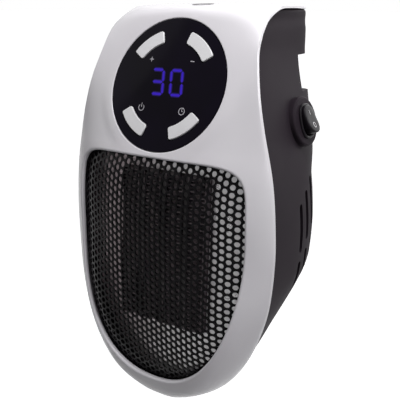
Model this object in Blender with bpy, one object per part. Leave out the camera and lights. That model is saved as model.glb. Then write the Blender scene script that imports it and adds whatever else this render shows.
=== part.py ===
"""Plug-in fan heater: a white front shell on a dark tub that hangs on its own rotating mains plug.

Metres, +Z up. The origin is the centre of the plug's outer face, X is to the viewer's right,
and +Y points into the wall. "Reach" is a distance from the wall towards the room.
"""
import math

import bmesh
import bpy
from mathutils import Matrix, Vector
from mathutils.bvhtree import BVHTree
from mathutils.geometry import delaunay_2d_cdt

MM = 0.001

# Clearances
GAP = 0.3 * MM
OVERRUN = 2.0 * MM

# Casing
BODY_HEIGHT = 173.8 * MM
HALF_WIDTH = 52.2 * MM
FRONT_REACH = 76.9 * MM
RIM_REACH = 58.0 * MM
HEAD_HEIGHT = 28.3 * MM
HULL_CENTRE_DROP = 60.0 * MM
SHELL_WALL = 1.8 * MM
HOUSING_WALL = 2.0 * MM
HOUSING_INSET = 1.0 * MM
HOOD_LAP = 0.4 * MM
HOOD_DEPTH = 27.0 * MM
TONGUE_HALF_WIDTH = 29.4 * MM
TONGUE_FRONT = 25.6 * MM
TONGUE_BACK = 3.4 * MM
TONGUE_RISE = 0.6 * MM
BACK_FLATNESS = 0.5 * MM
RIM_SQUARENESS = 1.25

# Each row: crown reach, crown drop, rim half width, rim reach, rim drop, fullness of the curve.
# Reaches are shares of FRONT_REACH and RIM_REACH, drops of BODY_HEIGHT, widths of HALF_WIDTH.
shell_row_shares = (
    (0.013, 0.0, 0.638, 0.017, 0.0075, 4.0),
    (0.182, 0.0, 0.663, 0.207, 0.0063, 4.0),
    (0.364, 0.0, 0.682, 0.379, 0.0058, 4.0),
    (0.475, 0.0, 0.693, 0.500, 0.0086, 4.0),
    (0.536, 0.001, 0.699, 0.595, 0.020, 4.0),
    (0.585, 0.007, 0.703, 0.698, 0.037, 4.0),
    (0.615, 0.021, 0.720, 0.779, 0.056, 4.0),
    (0.640, 0.048, 0.732, 0.834, 0.077, 4.0),
    (0.693, 0.105, 0.749, 0.890, 0.110, 4.0),
    (0.765, 0.184, 0.810, 0.969, 0.184, 4.0),
    (0.839, 0.264, 0.874, 1.0, 0.264, 3.3),
    (0.904, 0.334, 0.927, 1.0, 0.334, 3.1),
    (0.951, 0.393, 0.966, 1.0, 0.393, 2.8),
    (0.983, 0.474, 0.992, 1.0, 0.474, 2.6),
    (0.998, 0.571, 1.0, 1.0, 0.571, 2.4),
    (1.0, 0.692, 0.958, 1.0, 0.692, 3.5),
    (0.990, 0.796, 0.851, 1.0, 0.796, 5.0),
    (0.970, 0.876, 0.709, 1.0, 0.876, 5.8),
    (0.948, 0.934, 0.539, 1.0, 0.934, 5.4),
    (0.902, 0.974, 0.322, 1.0, 0.974, 3.6),
    (0.839, 0.993, 0.151, 1.0, 0.993, 3.0),
    (0.757, 1.0, 0.0, 1.0, 1.0, 2.2),
)
RIM_LIP = 1.8 * MM
HOOD_LIP = 1.0 * MM
SLOPE_LIMIT = 0.5
SHELL_STEPS_ACROSS = 18
HOUSING_RINGS = 8
# A span between two rows whose reach or drop grows by more than this share is halved.
long_span_share = 0.06
# The housing's front edge under the hood: share of the corner's width, way forward and way down.
housing_top_shares = (
    (0.0, 0.0, 0.0),
    (0.3, 0.0, 0.0),
    (0.6, 0.0, 0.0),
    (0.86, 0.0, 0.0),
    (0.95, 0.0, 0.0),
    (0.993, 0.5, 0.35),
)
# Each row: drop, how square the housing's back edge is there, and how far its sides draw in.
housing_back_shares = (
    (0.013, 28.0, 0.050),
    (0.163, 28.0, 0.128),
    (0.243, 16.3, 0.121),
    (0.393, 6.2, 0.085),
    (0.508, 5.3, 0.045),
    (0.652, 4.6, 0.025),
    (0.796, 2.8, 0.125),
    (1.0, 2.5, 0.138),
)
HOUSING_LAST_RING = math.radians(85.0)
INSET_POWER = 4

# Control panel, tilted back in the upper front
PANEL_REACH = 58.8 * MM
PANEL_DROP = 3.6 * MM
PANEL_TILT = math.radians(22.1)
PANEL_RADIUS = 28.0 * MM
PANEL_THICKNESS = 2.0 * MM
PANEL_EDGE = 0.4 * MM
SEAT_WIDTH = 2.0 * MM
SEAT_RIM = 1.5 * MM
SEAT_DEPTH = 1.5 * MM
SEAT_FRONT = 1.2 * MM
PILLAR_RADIUS = 1.3 * MM
BOARD_THICKNESS = 1.6 * MM
CONTROL_BOARD_RADIUS = 28.6 * MM
CONTROL_BOARD_DEPTH = 7.0 * MM
DISPLAY_WIDTH = 24.0 * MM
DISPLAY_HEIGHT = 14.0 * MM
DISPLAY_THICKNESS = 4.0 * MM

# Keys, which are ring sectors in the panel
KEY_OUTER = 23.6 * MM
KEY_INNER = 18.3 * MM
KEY_FIRST_ANGLE = math.radians(33.5)
KEY_LAST_ANGLE = math.radians(72.3)
KEY_PROUD = 0.5 * MM
KEY_FLANGE = 0.9 * MM
KEY_FLANGE_THICKNESS = 1.0 * MM
KEY_PLUNGER = 0.5 * MM
SWITCH_SIDE = 6.0 * MM
SWITCH_HEIGHT = 1.7 * MM
SWITCH_STEM_RADIUS = 1.5 * MM
SWITCH_STEM = 0.4 * MM

# Grille and its D-shaped opening
GRILLE_HALF_WIDTH = 42.9 * MM
GRILLE_TOP_DROP = 34.3 * MM
GRILLE_WIDEST_DROP = 62.0 * MM
GRILLE_BOTTOM_DROP = 131.5 * MM
GRILLE_CORNER_POWER = 7.0
GRILLE_TAPER = 1.5 * MM
GRILLE_FLANGE = 1.0 * MM
GRILLE_RECESS = 0.6 * MM
GRILLE_THICKNESS = 1.2 * MM
MESH_PITCH = 10.0 * MM
MESH_WEB = 2.0 * MM
MESH_MARGIN = 1.4 * MM

# Heating block and air path, in a frame that leans with the front
AIR_REACH = 64.3 * MM
AIR_DROP = 73.7 * MM
AIR_LEAN = math.radians(4.1)
CORE_WIDTH = 43.8 * MM
CORE_HEIGHT = 67.6 * MM
CORE_DEPTH = 13.0 * MM
BAR_WIDTH = 2.2 * MM
FIN_COLUMNS = 4
FINS_PER_COLUMN = 11
FIN_THICKNESS = 1.0 * MM
FIN_WALL = 0.9 * MM
END_CAP_HEIGHT = 4.6 * MM
TAB_WIDTH = 4.8 * MM
TAB_THICKNESS = 0.8 * MM
TAB_LENGTH = 9.0 * MM
REFLECTOR_DEPTH = 4.0 * MM
REFLECTOR_THICKNESS = 0.6 * MM
REFLECTOR_MARGIN = 0.8 * MM
DUCT_FLANGE = 3.2 * MM
DUCT_FLANGE_THICKNESS = 2.0 * MM
DUCT_WALL = 1.6 * MM
DUCT_DEPTH = 19.0 * MM
CUTOUT_WIDTH = 11.0 * MM
CUTOUT_HEIGHT = 4.0 * MM
CUTOUT_LENGTH = 7.0 * MM

# Fan
FAN_FRAME_SIDE = 68.0 * MM
FAN_FRAME_DEPTH = 13.0 * MM
FAN_BORE_RADIUS = 31.0 * MM
BLADE_CLEARANCE = 1.2 * MM
FAN_BLADES = 7
BLADE_PITCH = math.radians(38.0)
BLADE_SPAN = math.radians(34.0)
BLADE_THICKNESS = 1.2 * MM
HUB_RADIUS = 10.0 * MM
HUB_DEPTH = 8.0 * MM
SPIDER_THICKNESS = 2.0 * MM
SPIDER_ARM_WIDTH = 4.0 * MM
SPIDER_ARMS = 4
MOTOR_RADIUS = 12.0 * MM
MOTOR_LENGTH = 20.0 * MM
MOTOR_CUP_WALL = 1.5 * MM
MOTOR_CUP_DEPTH = 6.0 * MM
SHAFT_RADIUS = 1.0 * MM
FAN_SCREW_RADIUS = 1.3 * MM
FAN_SCREW_HEAD = 2.6 * MM
FAN_SCREW_PLACE = 29.5 * MM
SCREW_HEAD_DEPTH = 1.8 * MM

# Plug that turns in a well in the back
PLUG_RADIUS = 19.0 * MM
PLUG_THICKNESS = 3.2 * MM
PLUG_HUB_RADIUS = 14.0 * MM
PLUG_HUB_DEPTH = 8.5 * MM
PLUG_FLOOR = 2.4 * MM
PLUG_WELL_WALL = 2.2 * MM
RETAINER_RADIUS = 18.0 * MM
RETAINER_THICKNESS = 2.0 * MM
PIN_RADIUS = 2.4 * MM
PIN_LENGTH = 19.0 * MM
PIN_SPACING = 19.0 * MM
PIN_TAIL = 3.5 * MM

# Grip notches beside the plug
NOTCH_ABOVE = 7.0 * MM
NOTCH_BELOW = 8.6 * MM
NOTCH_DEPTH = 6.4 * MM
NOTCH_INNER = 26.0 * MM
NOTCH_OUTER = 32.4 * MM

# Rocker switch on the right-hand side
SWITCH_REACH = 20.5 * MM
SWITCH_DROP = 19.5 * MM
PAD_RADIUS = 10.6 * MM
PAD_FACE = 45.0 * MM
PAD_ROOT = 38.4 * MM
BEZEL_HEIGHT = 15.4 * MM
BEZEL_WIDTH = 10.4 * MM
BEZEL_THICKNESS = 1.2 * MM
SWITCH_BODY_DEPTH = 13.4 * MM
SWITCH_WALL = 1.0 * MM
ROCKER_ANGLE = math.radians(14.0)
ROCKER_HEIGHT = 12.4 * MM
ROCKER_RISE = 1.9 * MM
ROCKER_PIVOT = 1.0 * MM
ROCKER_KEEL = 3.2 * MM

# Vent slots
SLOT_WIDTH = 3.0 * MM
SLOT_PITCH = 6.9 * MM
SLOT_REACH = 80.0 * MM
SLOT_BRIDGE = 4.2 * MM
BACK_SLOTS = 9
# Each row: place along the wall, direction in plan, and the drops of the top, the bridge and the end.
side_slot_shares = (
    (0.526, 0.0, 0.470, 0.607, 0.733),
    (0.405, 0.0, 0.444, 0.583, 0.695),
    (0.284, 0.0, 0.417, 0.555, 0.655),
)
corner_slot_shares = (
    (0.851, 0.160, 0.397, 0.536, 0.640),
    (0.749, 0.075, 0.384, 0.523, 0.640),
)
back_slot_drop_shares = (0.372, 0.511, 0.640)

# Screws that close the casing, and their bosses
SCREW_RADIUS = 1.5 * MM
SCREW_HEAD_RADIUS = 2.6 * MM
SCREW_BITE = 8.0 * MM
BOSS_RADIUS = 2.8 * MM
BOSS_COLLAR_RADIUS = 4.2 * MM
BOSS_COLLAR = 4.0 * MM
HIGH_SCREW_PLACE = 27.0 * MM
HIGH_SCREW_RISE = 16.5 * MM
HIGH_SCREW_SEAT = 4.0 * MM
HIGH_BOSS_REACH = 24.0 * MM
LOW_SCREW_PLACE = 7.0 * MM
LOW_SCREW_DROP = 135.2 * MM
LOW_SCREW_SEAT = 38.0 * MM
LOW_BOSS_REACH = 46.0 * MM
POST_RADIUS = 2.1 * MM
post_drops = (50.0 * MM, 84.0 * MM)
POST_INSET = 4.4 * MM

# Power board behind the control board
POWER_BOARD_REACH = 22.0 * MM
POWER_BOARD_HALF_WIDTH = 23.0 * MM
POWER_BOARD_TOP = 22.0 * MM
POWER_BOARD_DROP = 28.0 * MM
BOARD_POST_PLACE = 20.0 * MM
BOARD_POST_INSET = 3.2 * MM
BOARD_POST_RADIUS = 2.3 * MM
BOARD_SCREW_RADIUS = 1.1 * MM
BOARD_SCREW_HEAD = 2.2 * MM
RELAY_WIDTH = 15.0 * MM
RELAY_HEIGHT = 19.0 * MM
RELAY_DEPTH = 14.0 * MM
CAPACITOR_WIDTH = 17.0 * MM
CAPACITOR_HEIGHT = 9.0 * MM
CAPACITOR_DEPTH = 13.0 * MM

# Leads between the pins, the switch, the board, the heater and the motor
LEAD_RADIUS = 1.0 * MM
LEAD_STEPS = 8
SHORT_BEND = 4.0 * MM
LONG_BEND = 9.0 * MM
BOARD_PAD_INSET = 3.0 * MM
MOTOR_TAB_PLACE = 4.0 * MM

ROUND_STEPS = 28
FINE_STEPS = 44
SMALL_STEPS = 12
HOLE_STEPS = 10
SHADE_ANGLE = math.radians(35.0)

white_gloss = ("white_gloss_abs", (0.80, 0.80, 0.81), 0.22, 0.0)
dark_satin = ("dark_satin_abs", (0.035, 0.032, 0.035), 0.45, 0.0)
dark_lens = ("dark_lens", (0.010, 0.006, 0.014), 0.08, 0.0)
dark_metal = ("black_enamelled_steel", (0.012, 0.012, 0.014), 0.30, 0.6)
key_white = ("white_key", (0.78, 0.78, 0.80), 0.30, 0.0)
display_blue = ("display_module", (0.05, 0.03, 0.30), 0.40, 0.0)
bright_sheet = ("bright_aluminium", (0.80, 0.80, 0.82), 0.22, 1.0)
fin_metal = ("dark_fin_aluminium", (0.08, 0.07, 0.07), 0.45, 0.8)
ceramic_white = ("heating_ceramic", (0.10, 0.09, 0.09), 0.60, 0.0)
duct_resin = ("heat_proof_resin", (0.16, 0.15, 0.15), 0.60, 0.0)
board_green = ("circuit_board", (0.02, 0.16, 0.06), 0.45, 0.0)
component_black = ("component_case", (0.02, 0.02, 0.025), 0.50, 0.0)
component_blue = ("relay_case", (0.03, 0.10, 0.36), 0.45, 0.0)
component_yellow = ("capacitor_case", (0.72, 0.55, 0.10), 0.45, 0.0)
steel = ("bright_steel", (0.62, 0.62, 0.64), 0.30, 1.0)
brass = ("nickelled_brass", (0.72, 0.68, 0.58), 0.25, 1.0)
lead_sleeve = ("silicone_sleeve", (0.55, 0.06, 0.05), 0.60, 0.0)


def clear_scene():
    """Take away whatever the open file holds."""
    for obj in list(bpy.data.objects):
        bpy.data.objects.remove(obj, do_unlink=True)


def finish_material(finish):
    """One Principled material for each named finish."""
    name, colour, roughness, metallic = finish
    made = bpy.data.materials.get(name) or bpy.data.materials.new(name)
    made.use_nodes = True
    shader = made.node_tree.nodes["Principled BSDF"]
    shader.inputs["Base Color"].default_value = (*colour, 1.0)
    shader.inputs["Roughness"].default_value = roughness
    shader.inputs["Metallic"].default_value = metallic
    return made


def add_frame(name, place, lean):
    """An empty that pieces are laid out in; its local Y runs inwards, square to a leaning face."""
    frame = bpy.data.objects.new(name, None)
    bpy.context.collection.objects.link(frame)
    frame.location = place
    frame.rotation_euler = (-lean, 0.0, 0.0)
    bpy.context.view_layer.update()
    return frame


def make_piece(name, mesh_maker, finish, parent=None, place=(0.0, 0.0, 0.0), outward=True):
    """Turn the bmesh into a named object."""
    if outward:
        bmesh.ops.recalc_face_normals(mesh_maker, faces=mesh_maker.faces)
    mesh = bpy.data.meshes.new(name)
    mesh_maker.to_mesh(mesh)
    mesh_maker.free()
    mesh.shade_smooth()
    mesh.set_sharp_from_angle(angle=SHADE_ANGLE)
    piece = bpy.data.objects.new(name, mesh)
    bpy.context.collection.objects.link(piece)
    piece.data.materials.append(finish_material(finish))
    piece.parent = parent
    piece.location = place
    return piece


def make_copies(name, mesh_maker, finish, places, parent=None):
    """One object for each place, all sharing a mesh."""
    first = make_piece(name + "_1", mesh_maker, finish, parent, places[0])
    for number, place in enumerate(places[1:], start=2):
        piece = bpy.data.objects.new(f"{name}_{number}", first.data)
        bpy.context.collection.objects.link(piece)
        piece.parent = parent
        piece.location = place


def make_cutter(name, mesh_maker, parent=None):
    """A guide solid that only shapes another piece."""
    cutter = make_piece(name, mesh_maker, dark_satin, parent)
    cutter.hide_render = True
    cutter.display_type = "WIRE"
    return cutter


def join_or_cut(piece, cutter, operation):
    """Add a Boolean modifier that keeps to the exact solver."""
    step = piece.modifiers.new(cutter.name, "BOOLEAN")
    step.operation = operation
    step.solver = "EXACT"
    step.object = cutter


def add_stack(maker, layers, place=None):
    """Join outlines of equal length, each an (outline, y) pair, into one capped solid."""
    place = place or Matrix.Identity(4)
    rings = []
    for outline, depth in layers:
        rings.append([maker.verts.new(place @ Vector((x, depth, z))) for x, z in outline])
    for near, far in zip(rings, rings[1:]):
        for i in range(len(near)):
            j = (i + 1) % len(near)
            maker.faces.new((near[i], near[j], far[j], far[i]))
    maker.faces.new(rings[0][::-1])
    maker.faces.new(rings[-1])


def add_prism(maker, outline, near, far, place=None):
    """Extrude one outline along local Y."""
    add_stack(maker, ((outline, near), (outline, far)), place)


def add_box(maker, x_range, y_range, z_range, place=None):
    """A box between two corners."""
    add_prism(maker, rectangle(x_range, z_range), y_range[0], y_range[1], place)


def add_turned(maker, profile, steps, place=None):
    """Turn a closed profile of (radius, y) points about local Y."""
    place = place or Matrix.Identity(4)
    rings = []
    for radius, depth in profile:
        if radius == 0:
            rings.append([maker.verts.new(place @ Vector((0.0, depth, 0.0)))])
            continue
        ring = []
        for step in range(steps):
            angle = math.tau * step / steps
            point = Vector((radius * math.cos(angle), depth, radius * math.sin(angle)))
            ring.append(maker.verts.new(place @ point))
        rings.append(ring)
    open_ended = profile[0][0] == 0
    pairs = list(zip(rings, rings[1:]))
    if not open_ended:
        pairs.append((rings[-1], rings[0]))
    for near, far in pairs:
        for i in range(steps):
            j = (i + 1) % steps
            corners = [near[i % len(near)], near[j % len(near)], far[j % len(far)], far[i % len(far)]]
            unique = list(dict.fromkeys(corners))
            if len(unique) > 2:
                maker.faces.new(unique)


def add_rod(maker, radius, near, far, steps, place=None):
    """A plain round bar along local Y."""
    add_turned(maker, ((0, near), (radius, near), (radius, far), (0, far)), steps, place)


def rectangle(x_range, z_range):
    """Corners of a rectangle, in order."""
    return [
        (x_range[0], z_range[0]),
        (x_range[1], z_range[0]),
        (x_range[1], z_range[1]),
        (x_range[0], z_range[1]),
    ]


def circle(radius, steps, centre=(0.0, 0.0), turn=0.0):
    """Points round a circle."""
    points = []
    for step in range(steps):
        angle = math.tau * step / steps + turn
        points.append((centre[0] + radius * math.cos(angle), centre[1] + radius * math.sin(angle)))
    return points


def rounded_slot(width, top, bottom, centre=0.0):
    """An upright slot with faceted round ends."""
    radius = width / 2
    points = []
    for sign, end in ((1, top - radius), (-1, bottom + radius)):
        for step in range(3):
            angle = math.pi * step / 2
            points.append((centre + sign * radius * math.cos(angle), end + sign * radius * math.sin(angle)))
    return points


def is_inside(point, outline):
    """Whether a point lies inside a closed outline."""
    x, z = point
    crossings = 0
    for i, (x1, z1) in enumerate(outline):
        x2, z2 = outline[i - 1]
        if (z1 > z) != (z2 > z) and x < (x2 - x1) * (z - z1) / (z2 - z1) + x1:
            crossings += 1
    return crossings % 2 == 1


def add_plate(maker, outline, holes, front, back):
    """A sheet with holes, between two depths that are functions of (x, z)."""
    points = list(outline)
    edges = [(i, (i + 1) % len(outline)) for i in range(len(outline))]
    for hole in holes:
        start = len(points)
        edges += [(start + i, start + (i + 1) % len(hole)) for i in range(len(hole))]
        points += hole
    flat, _, triangles, *_ = delaunay_2d_cdt([Vector(p) for p in points], edges, [], 1, 1e-9)
    near = [maker.verts.new((p.x, front(p.x, p.y), p.y)) for p in flat]
    far = [maker.verts.new((p.x, back(p.x, p.y), p.y)) for p in flat]
    sides = {}
    for triangle in triangles:
        centre = sum((flat[i] for i in triangle), Vector((0.0, 0.0))) / len(triangle)
        if not is_inside(centre, outline) or any(is_inside(centre, hole) for hole in holes):
            continue
        maker.faces.new([near[i] for i in triangle])
        maker.faces.new([far[i] for i in reversed(triangle)])
        for k, i in enumerate(triangle):
            j = triangle[(k + 1) % len(triangle)]
            if (j, i) in sides:
                del sides[(j, i)]
            else:
                sides[(i, j)] = True
    for i, j in sides:
        maker.faces.new((near[j], near[i], far[i], far[j]))
    loose = [v for v in maker.verts if not v.link_faces]
    bmesh.ops.delete(maker, geom=loose, context="VERTS")


def level(depth):
    """A flat sheet side at one depth."""
    return lambda x, z: depth


def blend_rows(rows):
    """Halve the long spans along a Catmull-Rom curve through the rows."""
    smooth = []
    for i in range(len(rows) - 1):
        before = rows[max(i - 1, 0)]
        after = rows[min(i + 2, len(rows) - 1)]
        growth = [abs(b - a) for a, b in zip(rows[i][:2], rows[i + 1][:2])]
        is_long = max(growth) > long_span_share
        for t in (0.0, 0.5) if is_long else (0.0,):
            row = []
            for a, b, c, d in zip(before, rows[i], rows[i + 1], after):
                bend = (2 * a - 5 * b + 4 * c - d) * t * t + (3 * b - a - 3 * c + d) * t * t * t
                row.append(b + ((c - a) * t + bend) / 2)
            smooth.append(row)
    smooth.append(list(rows[-1]))
    return smooth


def drop_to_height(share):
    """Height above the plug's centre of a share of the body's height, counted from the top."""
    return HEAD_HEIGHT - share * BODY_HEIGHT


def panel_line(height):
    """Y of the tilted panel's plane at a height, on the centre line."""
    return -PANEL_REACH + (height + PANEL_DROP) * math.tan(PANEL_TILT)


def lip_direction(rows, i):
    """Where the rim's lip points: square to the rim, backwards on the sides and down on the hood."""
    before = rows[max(i - 1, 0)][2]
    after = rows[min(i + 1, len(rows) - 1)][2]
    along = Vector((after[0] - before[0], after[1] - before[1])).normalized()
    return -along.y, along.x


def shell_rows():
    """The shell's rows from the hood's back edge to its tip: crown, rim and fullness in metres."""
    rows = []
    half_panel = PANEL_RADIUS * math.cos(PANEL_TILT)
    for crown_reach, crown_drop, width, rim_reach, rim_drop, fullness in blend_rows(shell_row_shares):
        crown = [-crown_reach * FRONT_REACH, drop_to_height(crown_drop)]
        if abs(crown[1] + PANEL_DROP) < half_panel:
            crown[0] = panel_line(crown[1])
        rim = (-rim_reach * RIM_REACH, drop_to_height(rim_drop))
        rows.append((crown, width * HALF_WIDTH, rim, fullness))
    return [row + (lip_direction(rows, i),) for i, row in enumerate(rows)]


def shell_point(row, across):
    """A point of the shell's outer face; across runs from -1 to 1 between the two rims."""
    crown, width, rim, fullness, lip = row
    fall = 1 - (1 - abs(across) ** fullness) ** (1 / RIM_SQUARENESS)
    length = HOOD_LIP + (RIM_LIP - HOOD_LIP) * abs(lip[0])
    y = crown[0] + (rim[0] - lip[0] * length - crown[0]) * fall
    z = crown[1] + (rim[1] - lip[1] * length - crown[1]) * fall
    return Vector((across * width, y, z))


def shell_columns(row):
    """One row of points across the shell, closest together near the rims."""
    steps = SHELL_STEPS_ACROSS
    return [shell_point(row, math.sin(math.pi / 2 * (2 * i / steps - 1))) for i in range(steps + 1)]


def shell_section(row):
    """One row of points across the shell's outer face, from lip to lip."""
    width, rim = row[1], row[2]
    ends = [Vector((side * width, rim[0], rim[1])) for side in (-1, 1)]
    return [ends[0]] + shell_columns(row) + [ends[1]]


def inner_rows():
    """The rows of the shell's inner face, one wall inside the outer ones and with no lip."""
    rows = shell_rows()
    inner = []
    for i, (crown, width, rim, fullness, _) in enumerate(rows):
        before = rows[max(i - 1, 0)][0]
        after = rows[min(i + 1, len(rows) - 1)][0]
        along = Vector((after[0] - before[0], after[1] - before[1])).normalized()
        crown = (crown[0] - SHELL_WALL * along.y, crown[1] + SHELL_WALL * along.x)
        rise = rim[1] + HULL_CENTRE_DROP
        if rise < 0:
            scale = 1 - SHELL_WALL / math.hypot(width, rise)
            width, rim = width * scale, (rim[0], -HULL_CENTRE_DROP + rise * scale)
        else:
            width = width - SHELL_WALL
        inner.append((crown, width, rim, fullness, (0.0, 0.0)))
    return inner


def add_grid(maker, grid):
    """Faces between each row of corners and the next."""
    for upper, lower in zip(grid, grid[1:]):
        for i in range(len(upper) - 1):
            maker.faces.new((upper[i], lower[i], lower[i + 1], upper[i + 1]))


def add_shell_skin(maker):
    """The shell's outer face, open along the rim; returns its two rims, tip last."""
    rows = shell_rows()
    grid = [[maker.verts.new(point) for point in shell_section(row)] for row in rows[:-1]]
    add_grid(maker, grid)
    rim_y, rim_z = rows[-1][2]
    tip = maker.verts.new((0.0, rim_y - RIM_LIP, rim_z))
    back = maker.verts.new((0.0, rim_y, rim_z))
    last = grid[-1]
    for i in range(1, len(last) - 2):
        maker.faces.new((last[i], tip, last[i + 1]))
    maker.faces.new((last[0], back, tip, last[1]))
    maker.faces.new((last[-2], tip, back, last[-1]))
    return grid[0], [row[0] for row in grid] + [back], [row[-1] for row in grid] + [back]


def add_shell_body(maker):
    """The whole cover, closed: outer face, inner face and the edge between them."""
    top, left, right = add_shell_skin(maker)
    rows = inner_rows()
    grid = [[maker.verts.new(point) for point in shell_columns(row)] for row in rows[:-1]]
    add_grid(maker, grid)
    tip = maker.verts.new((0.0, rows[-1][2][0], rows[-1][2][1]))
    last = grid[-1]
    for i in range(len(last) - 1):
        maker.faces.new((last[i], tip, last[i + 1]))
    maker.faces.new(top + grid[0][::-1])
    for outer, inner in ((left, [row[0] for row in grid]), (right, [row[-1] for row in grid])):
        inner.append(tip)
        for i in range(len(outer) - 1):
            maker.faces.new((outer[i], outer[i + 1], inner[i + 1], inner[i]))


def opening_half_width(height, grow):
    """Half width of the grille opening at a height, grown on all sides."""
    middle = -GRILLE_WIDEST_DROP
    if height > middle:
        share = min(1.0, (height - middle) / (GRILLE_WIDEST_DROP - GRILLE_TOP_DROP + grow))
        full = (1 - share ** GRILLE_CORNER_POWER) ** (1 / GRILLE_CORNER_POWER)
        return (GRILLE_HALF_WIDTH + grow) * full - GRILLE_TAPER * share * share * full
    share = min(1.0, (middle - height) / (GRILLE_BOTTOM_DROP - GRILLE_WIDEST_DROP + grow))
    return (GRILLE_HALF_WIDTH + grow) * math.sqrt(1 - share * share)


def opening_outline(grow=0.0, steps=14):
    """The D-shaped outline, anticlockwise seen from the front."""
    top = -GRILLE_TOP_DROP + grow
    middle = -GRILLE_WIDEST_DROP
    bottom = -GRILLE_BOTTOM_DROP - grow
    right = []
    for step in range(steps):
        share = math.sin(math.pi / 2 * step / steps)
        height = bottom + (middle - bottom) * (1 - math.cos(math.pi / 2 * step / steps))
        right.append((opening_half_width(height, grow), height))
    for step in range(steps + 1):
        share = 1 - (1 - step / steps) ** 2
        height = middle + (top - middle) * share
        right.append((opening_half_width(height, grow), height))
    left = [(-x, z) for x, z in reversed(right) if x > 0]
    return [p for p in right if p[0] > 0 or p[1] < middle] + left


def shell_surface():
    """A lookup for the shell's outer face, seen straight from the front."""
    maker = bmesh.new()
    add_shell_skin(maker)
    tree = BVHTree.FromBMesh(maker)
    maker.free()

    def depth_at(x, z):
        hit = tree.ray_cast(Vector((x, -2 * FRONT_REACH, z)), Vector((0.0, 1.0, 0.0)))[0]
        return hit.y if hit else -RIM_REACH

    return depth_at


def screw_places():
    """The four closing screws: x, z, the y where the bosses meet and the y of the head's seat."""
    places = []
    for side in (-1, 1):
        places.append((side * HIGH_SCREW_PLACE, HIGH_SCREW_RISE, -HIGH_BOSS_REACH, -HIGH_SCREW_SEAT))
        places.append((side * LOW_SCREW_PLACE, -LOW_SCREW_DROP, -LOW_BOSS_REACH, -LOW_SCREW_SEAT))
    return places


def at_place(x, z):
    """Move a shape to a place in the XZ plane."""
    return Matrix.Translation((x, 0.0, z))


def add_post(maker, depth_at, radius, end, x, z):
    """A round post behind the shell, whose front end follows the middle of the wall."""
    def middle(px, pz):
        return depth_at(px, pz) + wall_slope(depth_at, px, pz) * SHELL_WALL / 2

    outline = circle(radius, SMALL_STEPS, (x, z))
    front = [maker.verts.new((px, middle(px, pz), pz)) for px, pz in outline]
    back = [maker.verts.new((px, end, pz)) for px, pz in outline]
    centre = maker.verts.new((x, middle(x, z), z))
    for i, corner in enumerate(front):
        j = (i + 1) % len(front)
        maker.faces.new((centre, corner, front[j]))
        maker.faces.new((corner, back[i], back[j], front[j]))
    maker.faces.new(back)


def build_front_shell(depth_at, panel_frame, air_front):
    """White front cover with its hood, key seat, posts and the two openings."""
    maker = bmesh.new()
    add_shell_body(maker)
    shell = make_piece("front_shell", maker, white_gloss)

    seat = bmesh.new()
    outer = PANEL_RADIUS + GAP + SEAT_RIM
    inner = PANEL_RADIUS - SEAT_WIDTH
    back = PANEL_THICKNESS + GAP + SEAT_DEPTH
    add_turned(seat, ((inner, SEAT_FRONT), (outer, SEAT_FRONT), (outer, back), (inner, back)), ROUND_STEPS)
    join_or_cut(shell, make_cutter("shell_panel_seat", seat, panel_frame), "UNION")

    pillars = bmesh.new()
    place = PANEL_RADIUS - SEAT_WIDTH + PILLAR_RADIUS + GAP
    for step in range(3):
        angle = math.pi / 2 + math.tau * step / 3
        where = at_place(place * math.cos(angle), place * math.sin(angle))
        add_rod(pillars, PILLAR_RADIUS, back - GAP, CONTROL_BOARD_DEPTH - GAP, SMALL_STEPS, where)
    join_or_cut(shell, make_cutter("shell_board_pillars", pillars, panel_frame), "UNION")

    posts = bmesh.new()
    for x, z, meet, _ in screw_places():
        add_post(posts, depth_at, BOSS_RADIUS, meet - GAP, x, z)
    for drop in post_drops:
        for side in (-1, 1):
            x = side * (opening_half_width(-drop, 0.0) + POST_INSET)
            add_post(posts, depth_at, POST_RADIUS, air_front(-drop) - GAP, x, -drop)
    join_or_cut(shell, make_cutter("shell_posts", posts), "UNION")

    openings = bmesh.new()
    add_prism(openings, opening_outline(), -FRONT_REACH - OVERRUN, -RIM_REACH)
    for x, z, meet, _ in screw_places():
        pilot = meet - SCREW_BITE - OVERRUN
        add_rod(openings, SCREW_RADIUS + GAP, pilot, meet + OVERRUN, HOLE_STEPS, at_place(x, z))
    ceiling = HEAD_HEIGHT - SHELL_WALL
    half = TONGUE_HALF_WIDTH + GAP
    depths = (-TONGUE_FRONT - GAP, -TONGUE_BACK + GAP)
    add_box(openings, (-half, half), depths, (ceiling - OVERRUN, ceiling + TONGUE_RISE))
    join_or_cut(shell, make_cutter("shell_openings", openings), "DIFFERENCE")

    panel_hole = bmesh.new()
    add_turned(
        panel_hole,
        (
            (0, -SWITCH_SIDE),
            (PANEL_RADIUS + GAP, -SWITCH_SIDE),
            (PANEL_RADIUS + GAP, PANEL_THICKNESS + GAP),
            (inner, PANEL_THICKNESS + GAP),
            (inner, back + OVERRUN),
            (0, back + OVERRUN),
        ),
        FINE_STEPS,
    )
    join_or_cut(shell, make_cutter("shell_panel_hole", panel_hole, panel_frame), "DIFFERENCE")


def back_at(height):
    """How square the housing's back edge is at a height, and how far its side draws in."""
    drop = (HEAD_HEIGHT - height) / BODY_HEIGHT
    rows = housing_back_shares
    upper, lower = next((pair for pair in zip(rows, rows[1:]) if drop <= pair[1][0]), rows[-2:])
    way = min(1.0, max(0.0, (drop - upper[0]) / (lower[0] - upper[0])))
    return [a + (b - a) * way for a, b in zip(upper[1:], lower[1:])]


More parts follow.
